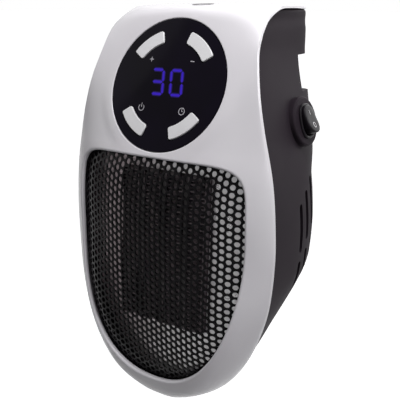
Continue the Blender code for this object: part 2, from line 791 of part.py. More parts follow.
def housing_edge():
    """The housing's front edge from the top centre down the right side: (x, y, z) points."""
    top = HEAD_HEIGHT - SHELL_WALL - HOOD_LAP
    rim = []
    for _, width, (rim_y, rim_z), _, lip in shell_rows():
        y = rim_y + GAP / max(lip[0], SLOPE_LIMIT)
        reach = math.hypot(width, rim_z + HULL_CENTRE_DROP)
        scale = 1 - HOUSING_INSET / reach
        if rim_z > -HULL_CENTRE_DROP:
            rim.append((width - HOUSING_INSET, y, rim_z))
        else:
            rim.append((width * scale, y, -HULL_CENTRE_DROP + (rim_z + HULL_CENTRE_DROP) * scale))
    side = [p for p in rim if p[2] < top - HOOD_LAP and p[1] < -HOOD_DEPTH]
    corner_x, corner_y, corner_z = side[0]
    edge = []
    for across, forward, down in housing_top_shares:
        y = -HOOD_DEPTH + (corner_y + HOOD_DEPTH) * forward
        edge.append((corner_x * across, y, top + (corner_z - top) * down))
    return edge + side


def inset_point(point, corner, inset):
    """A point of the housing's edge drawn in: sideways above the hull's centre, towards it below."""
    x, y, z = point
    rise = z + HULL_CENTRE_DROP
    if rise < 0:
        scale = 1 - inset / math.hypot(x, rise)
        return x * scale, y, -HULL_CENTRE_DROP + rise * scale
    fall = (rise / (corner[2] + HULL_CENTRE_DROP)) ** INSET_POWER
    return x - inset * min(1.0, x / corner[0]), y, z - inset * fall


def add_housing_rings(maker, inset=0.0):
    """Rings of one face of the tub, from its front edge to its flat back; inset draws them in."""
    edge = housing_edge()
    corner = edge[len(housing_top_shares) - 1]
    right = [inset_point(point, corner, inset) for point in edge]
    loop = right + [(-x, y, z) for x, y, z in reversed(right[1:-1])]
    rings = []
    for step in range(HOUSING_RINGS + 1):
        angle = HOUSING_LAST_RING * step / HOUSING_RINGS
        ring = []
        for x, y, z in loop:
            squareness, draw = back_at(z)
            back = math.sin(angle) ** (2 / squareness)
            scale = math.cos(angle) ** (2 / squareness)
            narrow = scale * (1 - draw * back)
            fall = scale if z > -HULL_CENTRE_DROP else narrow
            depth = min(-inset, y + (BACK_FLATNESS - inset - y) * back)
            height = -HULL_CENTRE_DROP + (z + HULL_CENTRE_DROP) * fall
            ring.append(maker.verts.new((x * narrow, depth, height)))
        rings.append(ring)
    return rings


def join_rings(maker, rings):
    """Faces between each ring and the next."""
    for near, far in zip(rings, rings[1:]):
        for i in range(len(near)):
            j = (i + 1) % len(near)
            maker.faces.new((near[i], near[j], far[j], far[i]))


def add_side_slots(maker):
    """Vent slots through the sides and the back corners, mirrored left and right."""
    half_pi = math.pi / 2
    for shares, turn_share in ((side_slot_shares, 1.0), (corner_slot_shares, 0.5)):
        for row in shares:
            for side in (-1, 1):
                if turn_share == 1.0:
                    where = Matrix.Translation((0.0, -row[0] * RIM_REACH, 0.0))
                else:
                    where = Matrix.Translation((side * row[0] * HALF_WIDTH, -row[1] * RIM_REACH, 0.0))
                turn = where @ Matrix.Rotation(-side * turn_share * half_pi, 4, "Z")
                start = PAD_ROOT - 4 * OVERRUN if turn_share == 1.0 else -4 * OVERRUN
                end = SLOT_REACH if turn_share == 1.0 else 4 * OVERRUN
                top, bridge, bottom = (drop_to_height(share) for share in row[2:])
                add_prism(maker, rounded_slot(SLOT_WIDTH, top, bridge + SLOT_BRIDGE / 2), start, end, turn)
                add_prism(maker, rounded_slot(SLOT_WIDTH, bridge - SLOT_BRIDGE / 2, bottom), start, end, turn)


def add_back_slots(maker):
    """Two rows of upright slots in the flat back."""
    top, bridge, bottom = (drop_to_height(share) for share in back_slot_drop_shares)
    for i in range(BACK_SLOTS):
        x = (i - (BACK_SLOTS - 1) / 2) * SLOT_PITCH
        for high, low in ((top, bridge + SLOT_BRIDGE / 2), (bridge - SLOT_BRIDGE / 2, bottom)):
            add_prism(maker, rounded_slot(SLOT_WIDTH, high, low, x), -4 * OVERRUN, OVERRUN)


def build_rear_housing():
    """Dark tub with the plug's well, grip notches, switch pad, bosses and vents."""
    maker = bmesh.new()
    outer = add_housing_rings(maker)
    inner = add_housing_rings(maker, HOUSING_WALL)
    join_rings(maker, outer[::-1] + inner)
    maker.faces.new(outer[-1])
    maker.faces.new(inner[-1])
    housing = make_piece("rear_housing", maker, dark_satin)
    join_or_cut(housing, build_housing_supports(), "UNION")
    turn_right = Matrix.Rotation(-math.pi / 2, 4, "Z")
    switch_place = Matrix.Translation((0.0, -SWITCH_REACH, -SWITCH_DROP)) @ turn_right
    pad = bmesh.new()
    edge = PAD_RADIUS - PANEL_EDGE
    profile = ((0, PAD_ROOT), (PAD_RADIUS, PAD_ROOT), (PAD_RADIUS, PAD_FACE - PANEL_EDGE), (edge, PAD_FACE), (0, PAD_FACE))
    add_turned(pad, profile, ROUND_STEPS, switch_place)
    join_or_cut(housing, make_cutter("housing_switch_pad", pad), "UNION")
    tongue = bmesh.new()
    half = TONGUE_HALF_WIDTH
    top = HEAD_HEIGHT - SHELL_WALL + TONGUE_RISE - GAP
    add_box(tongue, (-half, half), (-TONGUE_FRONT, -TONGUE_BACK), (top - HOUSING_WALL, top))
    join_or_cut(housing, make_cutter("housing_tongue", tongue), "UNION")

    cuts = bmesh.new()
    well_floor = -PLUG_THICKNESS - GAP
    end = well_floor - PLUG_FLOOR - OVERRUN
    hole = PLUG_HUB_RADIUS + GAP
    well = PLUG_RADIUS + GAP
    profile = ((0, end), (hole, end), (hole, well_floor), (well, well_floor), (well, OVERRUN), (0, OVERRUN))
    add_turned(cuts, profile, FINE_STEPS)
    for side in (-1, 1):
        ends = sorted((side * NOTCH_INNER, side * HALF_WIDTH))
        add_box(cuts, ends, (-NOTCH_DEPTH, OVERRUN), (-NOTCH_BELOW, NOTCH_ABOVE))
    x = BEZEL_WIDTH / 2 - SWITCH_WALL + GAP
    z = BEZEL_HEIGHT / 2 - SWITCH_WALL + GAP
    add_box(cuts, (-x, x), (PAD_ROOT - OVERRUN, PAD_FACE + OVERRUN), (-z, z), switch_place)
    for x, z, meet, seat in screw_places():
        hole = SCREW_RADIUS + GAP
        head = SCREW_HEAD_RADIUS + GAP
        start = meet - OVERRUN
        profile = ((0, start), (hole, start), (hole, seat), (head, seat), (head, OVERRUN), (0, OVERRUN))
        add_turned(cuts, profile, SMALL_STEPS, at_place(x, z))
    add_side_slots(cuts)
    add_back_slots(cuts)
    join_or_cut(housing, make_cutter("housing_cuts", cuts), "DIFFERENCE")


def build_housing_supports():
    """Plug well, notch walls, screw bosses and board posts, kept within the tub's wall."""
    added = bmesh.new()
    skin = OVERRUN
    floor = -PLUG_THICKNESS - GAP - PLUG_FLOOR
    add_rod(added, PLUG_RADIUS + GAP + PLUG_WELL_WALL, floor, skin, ROUND_STEPS)
    for side in (-1, 1):
        ends = sorted((side * (NOTCH_INNER - HOUSING_WALL), side * NOTCH_OUTER))
        heights = (-NOTCH_BELOW - HOUSING_WALL, NOTCH_ABOVE + HOUSING_WALL)
        add_box(added, ends, (-NOTCH_DEPTH - HOUSING_WALL, skin), heights)
    for x, z, meet, seat in screw_places():
        collar = seat - BOSS_COLLAR
        profile = (
            (0, meet),
            (BOSS_RADIUS, meet),
            (BOSS_RADIUS, collar),
            (BOSS_COLLAR_RADIUS, collar),
            (BOSS_COLLAR_RADIUS, skin),
            (0, skin),
        )
        add_turned(added, profile, SMALL_STEPS, at_place(x, z))
    for x, z in board_screw_places():
        add_rod(added, BOARD_POST_RADIUS, -POWER_BOARD_REACH + GAP, skin, SMALL_STEPS, at_place(x, z))
    supports = make_cutter("housing_supports", added)
    hull = bmesh.new()
    rings = add_housing_rings(hull, HOUSING_WALL / 2)
    join_rings(hull, rings)
    hull.faces.new(rings[0])
    hull.faces.new(rings[-1])
    join_or_cut(supports, make_cutter("housing_hull", hull), "INTERSECT")
    return supports


def build_housing_screws():
    """Two pairs of screws that pull the shell and the tub together."""
    places = screw_places()
    for name, pair in (("high_screw", places[0::2]), ("low_screw", places[1::2])):
        _, _, meet, seat = pair[0]
        screw = bmesh.new()
        add_screw(screw, meet - SCREW_BITE, seat + GAP, SCREW_RADIUS, SCREW_HEAD_RADIUS)
        make_copies(name, screw, steel, [(x, 0.0, z) for x, z, _, _ in pair])


def add_screw(maker, tip, seat, radius, head_radius):
    """A plain screw along local Y from its tip to its head; a negative head depth faces the room."""
    head = seat + SCREW_HEAD_DEPTH * (1 if seat > tip else -1)
    add_turned(
        maker,
        ((0, tip), (radius, tip), (radius, seat), (head_radius, seat), (head_radius, head), (0, head)),
        SMALL_STEPS,
    )


def hex_holes():
    """Six-sided holes on a staggered grid that stay inside the opening."""
    radius = (MESH_PITCH - MESH_WEB) / math.sqrt(3)
    column_step = MESH_PITCH * math.sqrt(3) / 2
    columns = int(GRILLE_HALF_WIDTH / column_step) + 1
    rows = int(BODY_HEIGHT / MESH_PITCH)
    limit = opening_outline(-MESH_MARGIN)
    holes = []
    for column in range(-columns, columns + 1):
        shift = MESH_PITCH / 2 if column % 2 else 0.0
        for row in range(rows):
            centre = (column * column_step, -GRILLE_TOP_DROP - shift - row * MESH_PITCH)
            hole = circle(radius, 6, centre)
            if all(is_inside(corner, limit) for corner in hole):
                holes.append(hole)
    return holes


def build_grille(depth_at):
    """Domed sheet-metal mesh whose flange lies behind the shell's opening."""
    maker = bmesh.new()
    front = SHELL_WALL + GAP + GRILLE_RECESS

    def near(x, z):
        return depth_at(x, z) + front * wall_slope(depth_at, x, z)

    def far(x, z):
        return near(x, z) + GRILLE_THICKNESS

    add_plate(maker, opening_outline(GRILLE_FLANGE), hex_holes(), near, far)
    return make_piece("grille", maker, dark_metal)


def wall_slope(depth_at, x, z):
    """How much deeper a wall of unit thickness looks along Y where the shell slopes."""
    step = SHELL_WALL
    along_x = (depth_at(x + step, z) - depth_at(x - step, z)) / (2 * step)
    along_z = (depth_at(x, z + step) - depth_at(x, z - step)) / (2 * step)
    return math.sqrt(1 + along_x * along_x + along_z * along_z)


def key_outline(turn, grow=0.0):
    """A ring sector with square ends, in the quadrant that turn and mirror pick."""
    points = []
    steps = 5
    for radius, reverse in ((KEY_OUTER + grow, False), (KEY_INNER - grow, True)):
        side = grow / radius
        angles = [
            KEY_FIRST_ANGLE - side + (KEY_LAST_ANGLE - KEY_FIRST_ANGLE + 2 * side) * i / steps
            for i in range(steps + 1)
        ]
        for angle in reversed(angles) if reverse else angles:
            points.append((radius * math.cos(angle) * turn[0], radius * math.sin(angle) * turn[1]))
    return points


key_quadrants = {
    "key_warmer": (-1, 1),
    "key_cooler": (1, 1),
    "key_power": (-1, -1),
    "key_timer": (1, -1),
}


def key_centre(turn):
    """Middle of a key."""
    angle = (KEY_FIRST_ANGLE + KEY_LAST_ANGLE) / 2
    radius = (KEY_OUTER + KEY_INNER) / 2
    return radius * math.cos(angle) * turn[0], radius * math.sin(angle) * turn[1]


def build_control_panel(panel_frame):
    """Dark lens with four key holes."""
    maker = bmesh.new()
    holes = [key_outline(turn, GAP) for turn in key_quadrants.values()]
    outline = circle(PANEL_RADIUS, FINE_STEPS)
    add_plate(maker, outline, holes, level(0.0), level(PANEL_THICKNESS))
    return make_piece("control_panel", maker, dark_lens, panel_frame)


def build_keys(panel_frame):
    """Four keys with a flange behind the lens and a short plunger."""
    back = PANEL_THICKNESS + GAP
    end = back + KEY_FLANGE_THICKNESS
    for name, turn in key_quadrants.items():
        maker = bmesh.new()
        face = key_outline(turn)
        flange = key_outline(turn, KEY_FLANGE)
        add_stack(maker, ((face, -KEY_PROUD), (face, back), (flange, back), (flange, end)))
        key = make_piece(name, maker, key_white, panel_frame)
        plunger = bmesh.new()
        where = at_place(*key_centre(turn))
        add_rod(plunger, SWITCH_STEM_RADIUS, end - GAP, end + KEY_PLUNGER, SMALL_STEPS, where)
        join_or_cut(key, make_cutter(name + "_plunger", plunger, panel_frame), "UNION")


def build_control_board(panel_frame):
    """Round board with the display and four tact switches."""
    maker = bmesh.new()
    near = CONTROL_BOARD_DEPTH
    add_rod(maker, CONTROL_BOARD_RADIUS, near, near + BOARD_THICKNESS, ROUND_STEPS)
    make_piece("control_board", maker, board_green, panel_frame)

    display = bmesh.new()
    half = (DISPLAY_WIDTH / 2, DISPLAY_HEIGHT / 2)
    add_box(display, (-half[0], half[0]), (near - GAP - DISPLAY_THICKNESS, near - GAP), (-half[1], half[1]))
    make_piece("led_display", display, display_blue, panel_frame)

    switch = bmesh.new()
    top = -SWITCH_HEIGHT
    side = (-SWITCH_SIDE / 2, SWITCH_SIDE / 2)
    square = rectangle(side, side)
    side = (-SWITCH_STEM_RADIUS, SWITCH_STEM_RADIUS)
    stem = rectangle(side, side)
    add_stack(switch, ((stem, top - SWITCH_STEM), (stem, top), (square, top), (square, 0.0)))
    centres = [key_centre(turn) for turn in key_quadrants.values()]
    places = [(x, near - GAP, z) for x, z in centres]
    make_copies("tact_switch", switch, component_black, places, panel_frame)


def build_heater_core(air_frame):
    """Fin columns with heating bars between them, held by two end caps."""
    bars = FIN_COLUMNS - 1
    column_width = (CORE_WIDTH - bars * BAR_WIDTH - 2 * bars * GAP) / FIN_COLUMNS
    half_height = CORE_HEIGHT / 2
    left = -CORE_WIDTH / 2
    window = (CORE_HEIGHT - FIN_THICKNESS) / FINS_PER_COLUMN
    step = column_width + BAR_WIDTH + 2 * GAP
    fins = bmesh.new()
    outline = rectangle((0.0, column_width), (-half_height, half_height))
    holes = []
    for i in range(FINS_PER_COLUMN):
        low = -half_height + FIN_THICKNESS + i * window
        holes.append(rectangle((FIN_WALL, column_width - FIN_WALL), (low, low + window - FIN_THICKNESS)))
    add_plate(fins, outline, holes, level(0.0), level(CORE_DEPTH))
    places = [(left + i * step, 0.0, 0.0) for i in range(FIN_COLUMNS)]
    make_copies("heater_fins", fins, fin_metal, places, air_frame)

    heating = bmesh.new()
    add_box(heating, (0.0, BAR_WIDTH), (FIN_WALL, CORE_DEPTH - FIN_WALL), (-half_height, half_height))
    places = [(left + i * step + column_width + GAP, 0.0, 0.0) for i in range(bars)]
    make_copies("heater_bar", heating, ceramic_white, places, air_frame)

    cap = bmesh.new()
    near = REFLECTOR_DEPTH + REFLECTOR_THICKNESS + GAP
    half_cap = END_CAP_HEIGHT / 2
    add_box(cap, (left, -left), (near, CORE_DEPTH), (-half_cap, half_cap))
    middle = half_height + GAP + half_cap
    make_copies("heater_end_cap", cap, duct_resin, [(0.0, 0.0, middle), (0.0, 0.0, -middle)], air_frame)

    tab = bmesh.new()
    half_tab = TAB_WIDTH / 2
    add_box(tab, (-half_tab, half_tab), (CORE_DEPTH + GAP, CORE_DEPTH + GAP + TAB_THICKNESS), (-half_cap, half_cap))
    places = [(-CORE_WIDTH / 4, 0.0, middle), (CORE_WIDTH / 4, 0.0, middle)]
    make_copies("heater_terminal", tab, brass, places, air_frame)


def duct_window(grow=0.0):
    """The air duct's rectangular bore."""
    half_width = CORE_WIDTH / 2 + GAP + grow
    half_height = CORE_HEIGHT / 2 + END_CAP_HEIGHT + 2 * GAP + grow
    return rectangle((-half_width, half_width), (-half_height, half_height))


def leaning_outline(grow):
    """The opening's outline as seen in the leaning frame."""
    return [(x, (z + AIR_DROP) / math.cos(AIR_LEAN)) for x, z in opening_outline(grow)]


def build_air_duct(air_frame):
    """Reflector sheet, and the resin duct whose front flange fills the shell."""
    sheet = bmesh.new()
    half_width = CORE_WIDTH / 2 + GAP
    half_height = CORE_HEIGHT / 2 + GAP
    window = rectangle((-half_width, half_width), (-half_height, half_height))
    back = REFLECTOR_DEPTH + REFLECTOR_THICKNESS
    add_plate(sheet, leaning_outline(REFLECTOR_MARGIN), [window], level(REFLECTOR_DEPTH), level(back))
    make_piece("reflector", sheet, bright_sheet, air_frame)

    near = back + GAP
    flange = bmesh.new()
    far = near + DUCT_FLANGE_THICKNESS
    add_plate(flange, leaning_outline(DUCT_FLANGE), [duct_window()], level(near), level(far))
    duct = make_piece("air_duct", flange, duct_resin, air_frame)
    tube = bmesh.new()
    add_plate(tube, duct_window(DUCT_WALL), [duct_window()], level(far - DUCT_WALL), level(DUCT_DEPTH))
    join_or_cut(duct, make_cutter("duct_tube", tube, air_frame), "UNION")
    plate = bmesh.new()
    half = FAN_FRAME_SIDE / 2
    height = CORE_HEIGHT / 2 + END_CAP_HEIGHT + 2 * GAP + DUCT_WALL
    outline = rectangle((-half, half), (-max(half, height), max(half, height)))
    holes = [duct_window()]
    for x in (-FAN_SCREW_PLACE, FAN_SCREW_PLACE):
        for z in (-FAN_SCREW_PLACE, FAN_SCREW_PLACE):
            holes.append(circle(FAN_SCREW_RADIUS + GAP, HOLE_STEPS, (x, z)))
    add_plate(plate, outline, holes, level(DUCT_DEPTH - DUCT_FLANGE_THICKNESS), level(DUCT_DEPTH))
    join_or_cut(duct, make_cutter("duct_plate", plate, air_frame), "UNION")

    notches = bmesh.new()
    for x, z, _, _ in screw_places()[1::2]:
        place = at_place(x, (z + AIR_DROP) / math.cos(AIR_LEAN))
        add_rod(notches, BOSS_RADIUS + 2 * GAP, near - OVERRUN, far + OVERRUN, SMALL_STEPS, place)
    join_or_cut(duct, make_cutter("duct_notches", notches, air_frame), "DIFFERENCE")

    cutout = bmesh.new()
    low = CORE_HEIGHT / 2 + END_CAP_HEIGHT + 3 * GAP + DUCT_WALL
    add_box(
        cutout,
        (-CUTOUT_WIDTH / 2, CUTOUT_WIDTH / 2),
        (far + GAP, far + GAP + CUTOUT_LENGTH),
        (low, low + CUTOUT_HEIGHT),
    )
    make_piece("thermal_cutout", cutout, component_black, air_frame)


def fan_depths():
    """Near and far face of the fan frame, and the near face of its spider."""
    near = DUCT_DEPTH + GAP
    far = near + FAN_FRAME_DEPTH
    return near, far, far - SPIDER_THICKNESS


def build_fan(air_frame):
    """Fan frame with its spider, impeller, shaft, motor and screws."""
    near, far, spider = fan_depths()
    half = FAN_FRAME_SIDE / 2
    corners = []
    for x in (-FAN_SCREW_PLACE, FAN_SCREW_PLACE):
        for z in (-FAN_SCREW_PLACE, FAN_SCREW_PLACE):
            corners.append((x, z))
    holes = [circle(FAN_BORE_RADIUS, ROUND_STEPS)]
    holes += [circle(FAN_SCREW_RADIUS + GAP, HOLE_STEPS, corner) for corner in corners]
    maker = bmesh.new()
    add_plate(maker, rectangle((-half, half), (-half, half)), holes, level(near), level(far))
    frame = make_piece("fan_frame", maker, duct_resin, air_frame)
    cup = bmesh.new()
    cup_radius = MOTOR_RADIUS + GAP + MOTOR_CUP_WALL
    add_turned(
        cup,
        (
            (SHAFT_RADIUS + GAP, spider),
            (cup_radius, spider),
            (cup_radius, far + MOTOR_CUP_DEPTH),
            (MOTOR_RADIUS + GAP, far + MOTOR_CUP_DEPTH),
            (MOTOR_RADIUS + GAP, far),
            (SHAFT_RADIUS + GAP, far),
        ),
        ROUND_STEPS,
    )
    arms = bmesh.new()
    for arm in range(SPIDER_ARMS):
        turn = Matrix.Rotation(math.tau * arm / SPIDER_ARMS, 4, "Y")
        add_box(
            arms,
            (cup_radius - MOTOR_CUP_WALL, FAN_BORE_RADIUS + SPIDER_THICKNESS),
            (spider, far),
            (-SPIDER_ARM_WIDTH / 2, SPIDER_ARM_WIDTH / 2),
            turn,
        )
    join_or_cut(frame, make_cutter("fan_arms", arms, air_frame), "UNION")
    join_or_cut(frame, make_cutter("fan_motor_cup", cup, air_frame), "UNION")

    hub_near = spider - BLADE_CLEARANCE - HUB_DEPTH
    hub_far = spider - BLADE_CLEARANCE
    hub = bmesh.new()
    add_turned(
        hub,
        (
            (SHAFT_RADIUS + GAP, hub_near),
            (HUB_RADIUS - BLADE_THICKNESS, hub_near),
            (HUB_RADIUS, hub_near + BLADE_THICKNESS),
            (HUB_RADIUS, hub_far),
            (SHAFT_RADIUS + GAP, hub_far),
        ),
        ROUND_STEPS,
    )
    impeller = make_piece("fan_impeller", hub, component_black, air_frame)
    blades = bmesh.new()
    for blade in range(FAN_BLADES):
        add_blade(blades, math.tau * blade / FAN_BLADES, hub_near, hub_far)
    join_or_cut(impeller, make_cutter("fan_blades", blades, air_frame), "UNION")

    shaft = bmesh.new()
    add_rod(shaft, SHAFT_RADIUS, hub_near + FIN_WALL, far, SMALL_STEPS)
    make_piece("motor_shaft", shaft, steel, air_frame)

    motor = bmesh.new()
    start = far + GAP
    add_turned(
        motor,
        (
            (0, start),
            (MOTOR_RADIUS, start),
            (MOTOR_RADIUS, start + MOTOR_LENGTH - SPIDER_THICKNESS),
            (MOTOR_RADIUS - SPIDER_THICKNESS, start + MOTOR_LENGTH),
            (0, start + MOTOR_LENGTH),
        ),
        ROUND_STEPS,
    )
    make_piece("fan_motor", motor, steel, air_frame)

    screw = bmesh.new()
    add_screw(screw, DUCT_DEPTH - DUCT_FLANGE_THICKNESS, far + GAP, FAN_SCREW_RADIUS, FAN_SCREW_HEAD)
    make_copies("fan_screw", screw, steel, [(x, 0.0, z) for x, z in corners], air_frame)


def add_blade(maker, turn, near, far):
    """One swept blade, a thin twisted slab from inside the hub to near the bore."""
    steps = 4
    tip = FAN_BORE_RADIUS - BLADE_CLEARANCE
    root = HUB_RADIUS - BLADE_THICKNESS
    middle = (near + far) / 2
    rows = []
    for i in range(steps + 1):
        radius = root + (tip - root) * i / steps
        chord = min(BLADE_SPAN * radius, (far - near - BLADE_THICKNESS) / math.sin(BLADE_PITCH))
        rise = chord * math.sin(BLADE_PITCH) / 2
        swing = chord * math.cos(BLADE_PITCH) / 2 / radius
        row = []
        for lift, side in ((0, -1), (0, 1), (1, 1), (1, -1)):
            angle = turn + side * swing + BLADE_SPAN * i / steps / 2
            y = middle + side * rise + (lift - 0.5) * BLADE_THICKNESS
            row.append(maker.verts.new((radius * math.cos(angle), y, radius * math.sin(angle))))
        rows.append(row)
    for inner, outer in zip(rows, rows[1:]):
        for i in range(4):
            j = (i + 1) % 4
            maker.faces.new((inner[i], inner[j], outer[j], outer[i]))
    maker.faces.new(rows[0][::-1])
    maker.faces.new(rows[-1])


def build_plug():
    """Disc, two round pins and the ring that keeps the disc in its well."""
    disc = bmesh.new()
    add_turned(
        disc,
        (
            (0, 0.0),
            (PLUG_RADIUS - PANEL_EDGE, 0.0),
            (PLUG_RADIUS, -PANEL_EDGE),
            (PLUG_RADIUS, -PLUG_THICKNESS),
            (PLUG_HUB_RADIUS, -PLUG_THICKNESS),
            (PLUG_HUB_RADIUS, -PLUG_HUB_DEPTH),
            (0, -PLUG_HUB_DEPTH),
        ),
        FINE_STEPS,
    )
    plug = make_piece("plug_disc", disc, dark_satin)
    holes = bmesh.new()
    for side in (-1, 1):
        where = at_place(side * PIN_SPACING / 2, 0.0)
        add_rod(holes, PIN_RADIUS + GAP, -PLUG_HUB_DEPTH - OVERRUN, OVERRUN, SMALL_STEPS, where)
    join_or_cut(plug, make_cutter("plug_pin_holes", holes), "DIFFERENCE")

    for name, side in (("plug_pin_left", -1), ("plug_pin_right", 1)):
        pin = bmesh.new()
        tail = -PLUG_HUB_DEPTH - PIN_TAIL
        nose = PIN_RADIUS * 0.8
        add_turned(
            pin,
            (
                (0, tail),
                (PIN_RADIUS, tail),
                (PIN_RADIUS, PIN_LENGTH - nose),
                (PIN_RADIUS * 0.8, PIN_LENGTH - nose / 3),
                (PIN_RADIUS * 0.35, PIN_LENGTH),
                (0, PIN_LENGTH),
            ),
            SMALL_STEPS,
            at_place(side * PIN_SPACING / 2, 0.0),
        )
        make_piece(name, pin, brass)

    ring = bmesh.new()
    near = -PLUG_THICKNESS - GAP - PLUG_FLOOR - GAP
    inner = PLUG_HUB_RADIUS + GAP
    add_turned(
        ring,
        (
            (inner, near - RETAINER_THICKNESS),
            (RETAINER_RADIUS, near - RETAINER_THICKNESS),
            (RETAINER_RADIUS, near),
            (inner, near),
        ),
        ROUND_STEPS,
    )
    make_piece("plug_retainer", ring, duct_resin)


def switch_frame():
    """A frame at the rocker's pivot; its local Y runs outwards."""
    frame = bpy.data.objects.new("switch_frame", None)
    bpy.context.collection.objects.link(frame)
    frame.location = (PAD_FACE + GAP + BEZEL_THICKNESS - ROCKER_PIVOT, -SWITCH_REACH, -SWITCH_DROP)
    frame.rotation_euler = (0.0, 0.0, -math.pi / 2)
    return frame


def build_side_switch():
    """Rocker switch: bezel and body in one, rocker, and two terminals."""
    frame = switch_frame()
    face = ROCKER_PIVOT
    seat = face - BEZEL_THICKNESS
    half_width = BEZEL_WIDTH / 2
    half_height = BEZEL_HEIGHT / 2
    body = bmesh.new()
    bezel = rectangle((-half_width, half_width), (-half_height, half_height))
    small = rectangle(
        (-half_width + SWITCH_WALL, half_width - SWITCH_WALL), (-half_height + SWITCH_WALL, half_height - SWITCH_WALL)
    )
    add_stack(body, ((bezel, face), (bezel, seat), (small, seat), (small, face - SWITCH_BODY_DEPTH)))
    piece = make_piece("switch_body", body, component_black, frame)
    pocket = bmesh.new()
    pocket_width = half_width - SWITCH_WALL - SWITCH_WALL / 2
    pocket_height = ROCKER_HEIGHT / 2 + 2 * GAP + SWITCH_WALL / 4
    pocket_depth = -math.hypot(ROCKER_KEEL, ROCKER_HEIGHT / 4) - SWITCH_WALL
    add_box(
        pocket, (-pocket_width, pocket_width), (pocket_depth, face + OVERRUN), (-pocket_height, pocket_height)
    )
    join_or_cut(piece, make_cutter("switch_pocket", pocket, frame), "DIFFERENCE")

    rocker = bmesh.new()
    half_rocker = ROCKER_HEIGHT / 2
    rise = ROCKER_RISE + half_rocker * math.tan(ROCKER_ANGLE)
    profile = (
        (rise, half_rocker),
        (ROCKER_RISE, 0.0),
        (rise, -half_rocker),
        (-SWITCH_WALL, -half_rocker),
        (-ROCKER_KEEL, -half_rocker / 2),
        (-ROCKER_KEEL, half_rocker / 2),
        (-SWITCH_WALL, half_rocker),
    )
    tilt = Matrix.Rotation(ROCKER_ANGLE, 4, "X")
    turn = Matrix.Rotation(-math.pi / 2, 4, "Z")
    width = pocket_width - GAP
    add_prism(rocker, [(-y, z) for y, z in profile], -width, width, tilt @ turn)
    make_piece("switch_rocker", rocker, component_black, frame)

    tab = bmesh.new()
    back = face - SWITCH_BODY_DEPTH - GAP
    half_tab = TAB_THICKNESS / 2
    add_box(tab, (-TAB_WIDTH / 2, TAB_WIDTH / 2), (back - TAB_LENGTH / 2, back), (-half_tab, half_tab))
    places = [(0.0, 0.0, half_height / 2), (0.0, 0.0, -half_height / 2)]
    make_copies("switch_terminal", tab, brass, places, frame)


def board_screw_places():
    """Where the power board is screwed down, at two opposite corners."""
    top = POWER_BOARD_TOP - BOARD_POST_INSET
    bottom = -POWER_BOARD_DROP + BOARD_POST_INSET
    return [(-BOARD_POST_PLACE, top), (BOARD_POST_PLACE, bottom)]


def build_power_board():
    """Board on two posts, with a relay, a capacitor and two screws."""
    board = bmesh.new()
    half = POWER_BOARD_HALF_WIDTH
    back = -POWER_BOARD_REACH
    front = back - BOARD_THICKNESS
    holes = [circle(BOARD_SCREW_RADIUS + GAP, HOLE_STEPS, place) for place in board_screw_places()]
    outline = rectangle((-half, half), (-POWER_BOARD_DROP, POWER_BOARD_TOP))
    add_plate(board, outline, holes, level(front), level(back))
    make_piece("power_board", board, board_green)

    relay = bmesh.new()
    add_box(relay, (-half / 2 - RELAY_WIDTH / 2, -half / 2 + RELAY_WIDTH / 2), (front - GAP - RELAY_DEPTH, front - GAP),
            (-RELAY_HEIGHT, 0.0))
    make_piece("relay", relay, component_blue)
    capacitor = bmesh.new()
    add_box(capacitor, (half / 2 - CAPACITOR_WIDTH / 2, half / 2 + CAPACITOR_WIDTH / 2),
            (front - GAP - CAPACITOR_DEPTH, front - GAP), (-CAPACITOR_HEIGHT, 0.0))
    make_piece("capacitor", capacitor, component_yellow)

    screw = bmesh.new()
    add_screw(screw, back, front - GAP, BOARD_SCREW_RADIUS, BOARD_SCREW_HEAD)
    make_copies("board_screw", screw, steel, [(x, 0.0, z) for x, z in board_screw_places()])


def add_lead(name, start, start_way, end, end_way):
    """A sleeved wire with a straight stub at each end; the ways are how its bends set off."""
    curve = bpy.data.curves.new(name, "CURVE")
    curve.dimensions = "3D"
    curve.bevel_depth = LEAD_RADIUS
    curve.bevel_resolution = 1
    curve.use_fill_caps = True
    first = start + start_way.normalized() * 2 * LEAD_RADIUS
    last = end + end_way.normalized() * 2 * LEAD_RADIUS
    route = [start]
    for i in range(LEAD_STEPS + 1):
        t = i / LEAD_STEPS
        u = 1 - t
        near = first * u * u * u + (first + start_way) * 3 * u * u * t
        route.append(near + (last + end_way) * 3 * u * t * t + last * t * t * t)
    route.append(end)
    spline = curve.splines.new("POLY")
    spline.points.add(len(route) - 1)
    for point, place in zip(spline.points, route):
        point.co = (*place, 1.0)
    curve.materials.append(finish_material(lead_sleeve))
    lead = bpy.data.objects.new(name, curve)
    bpy.context.collection.objects.link(lead)


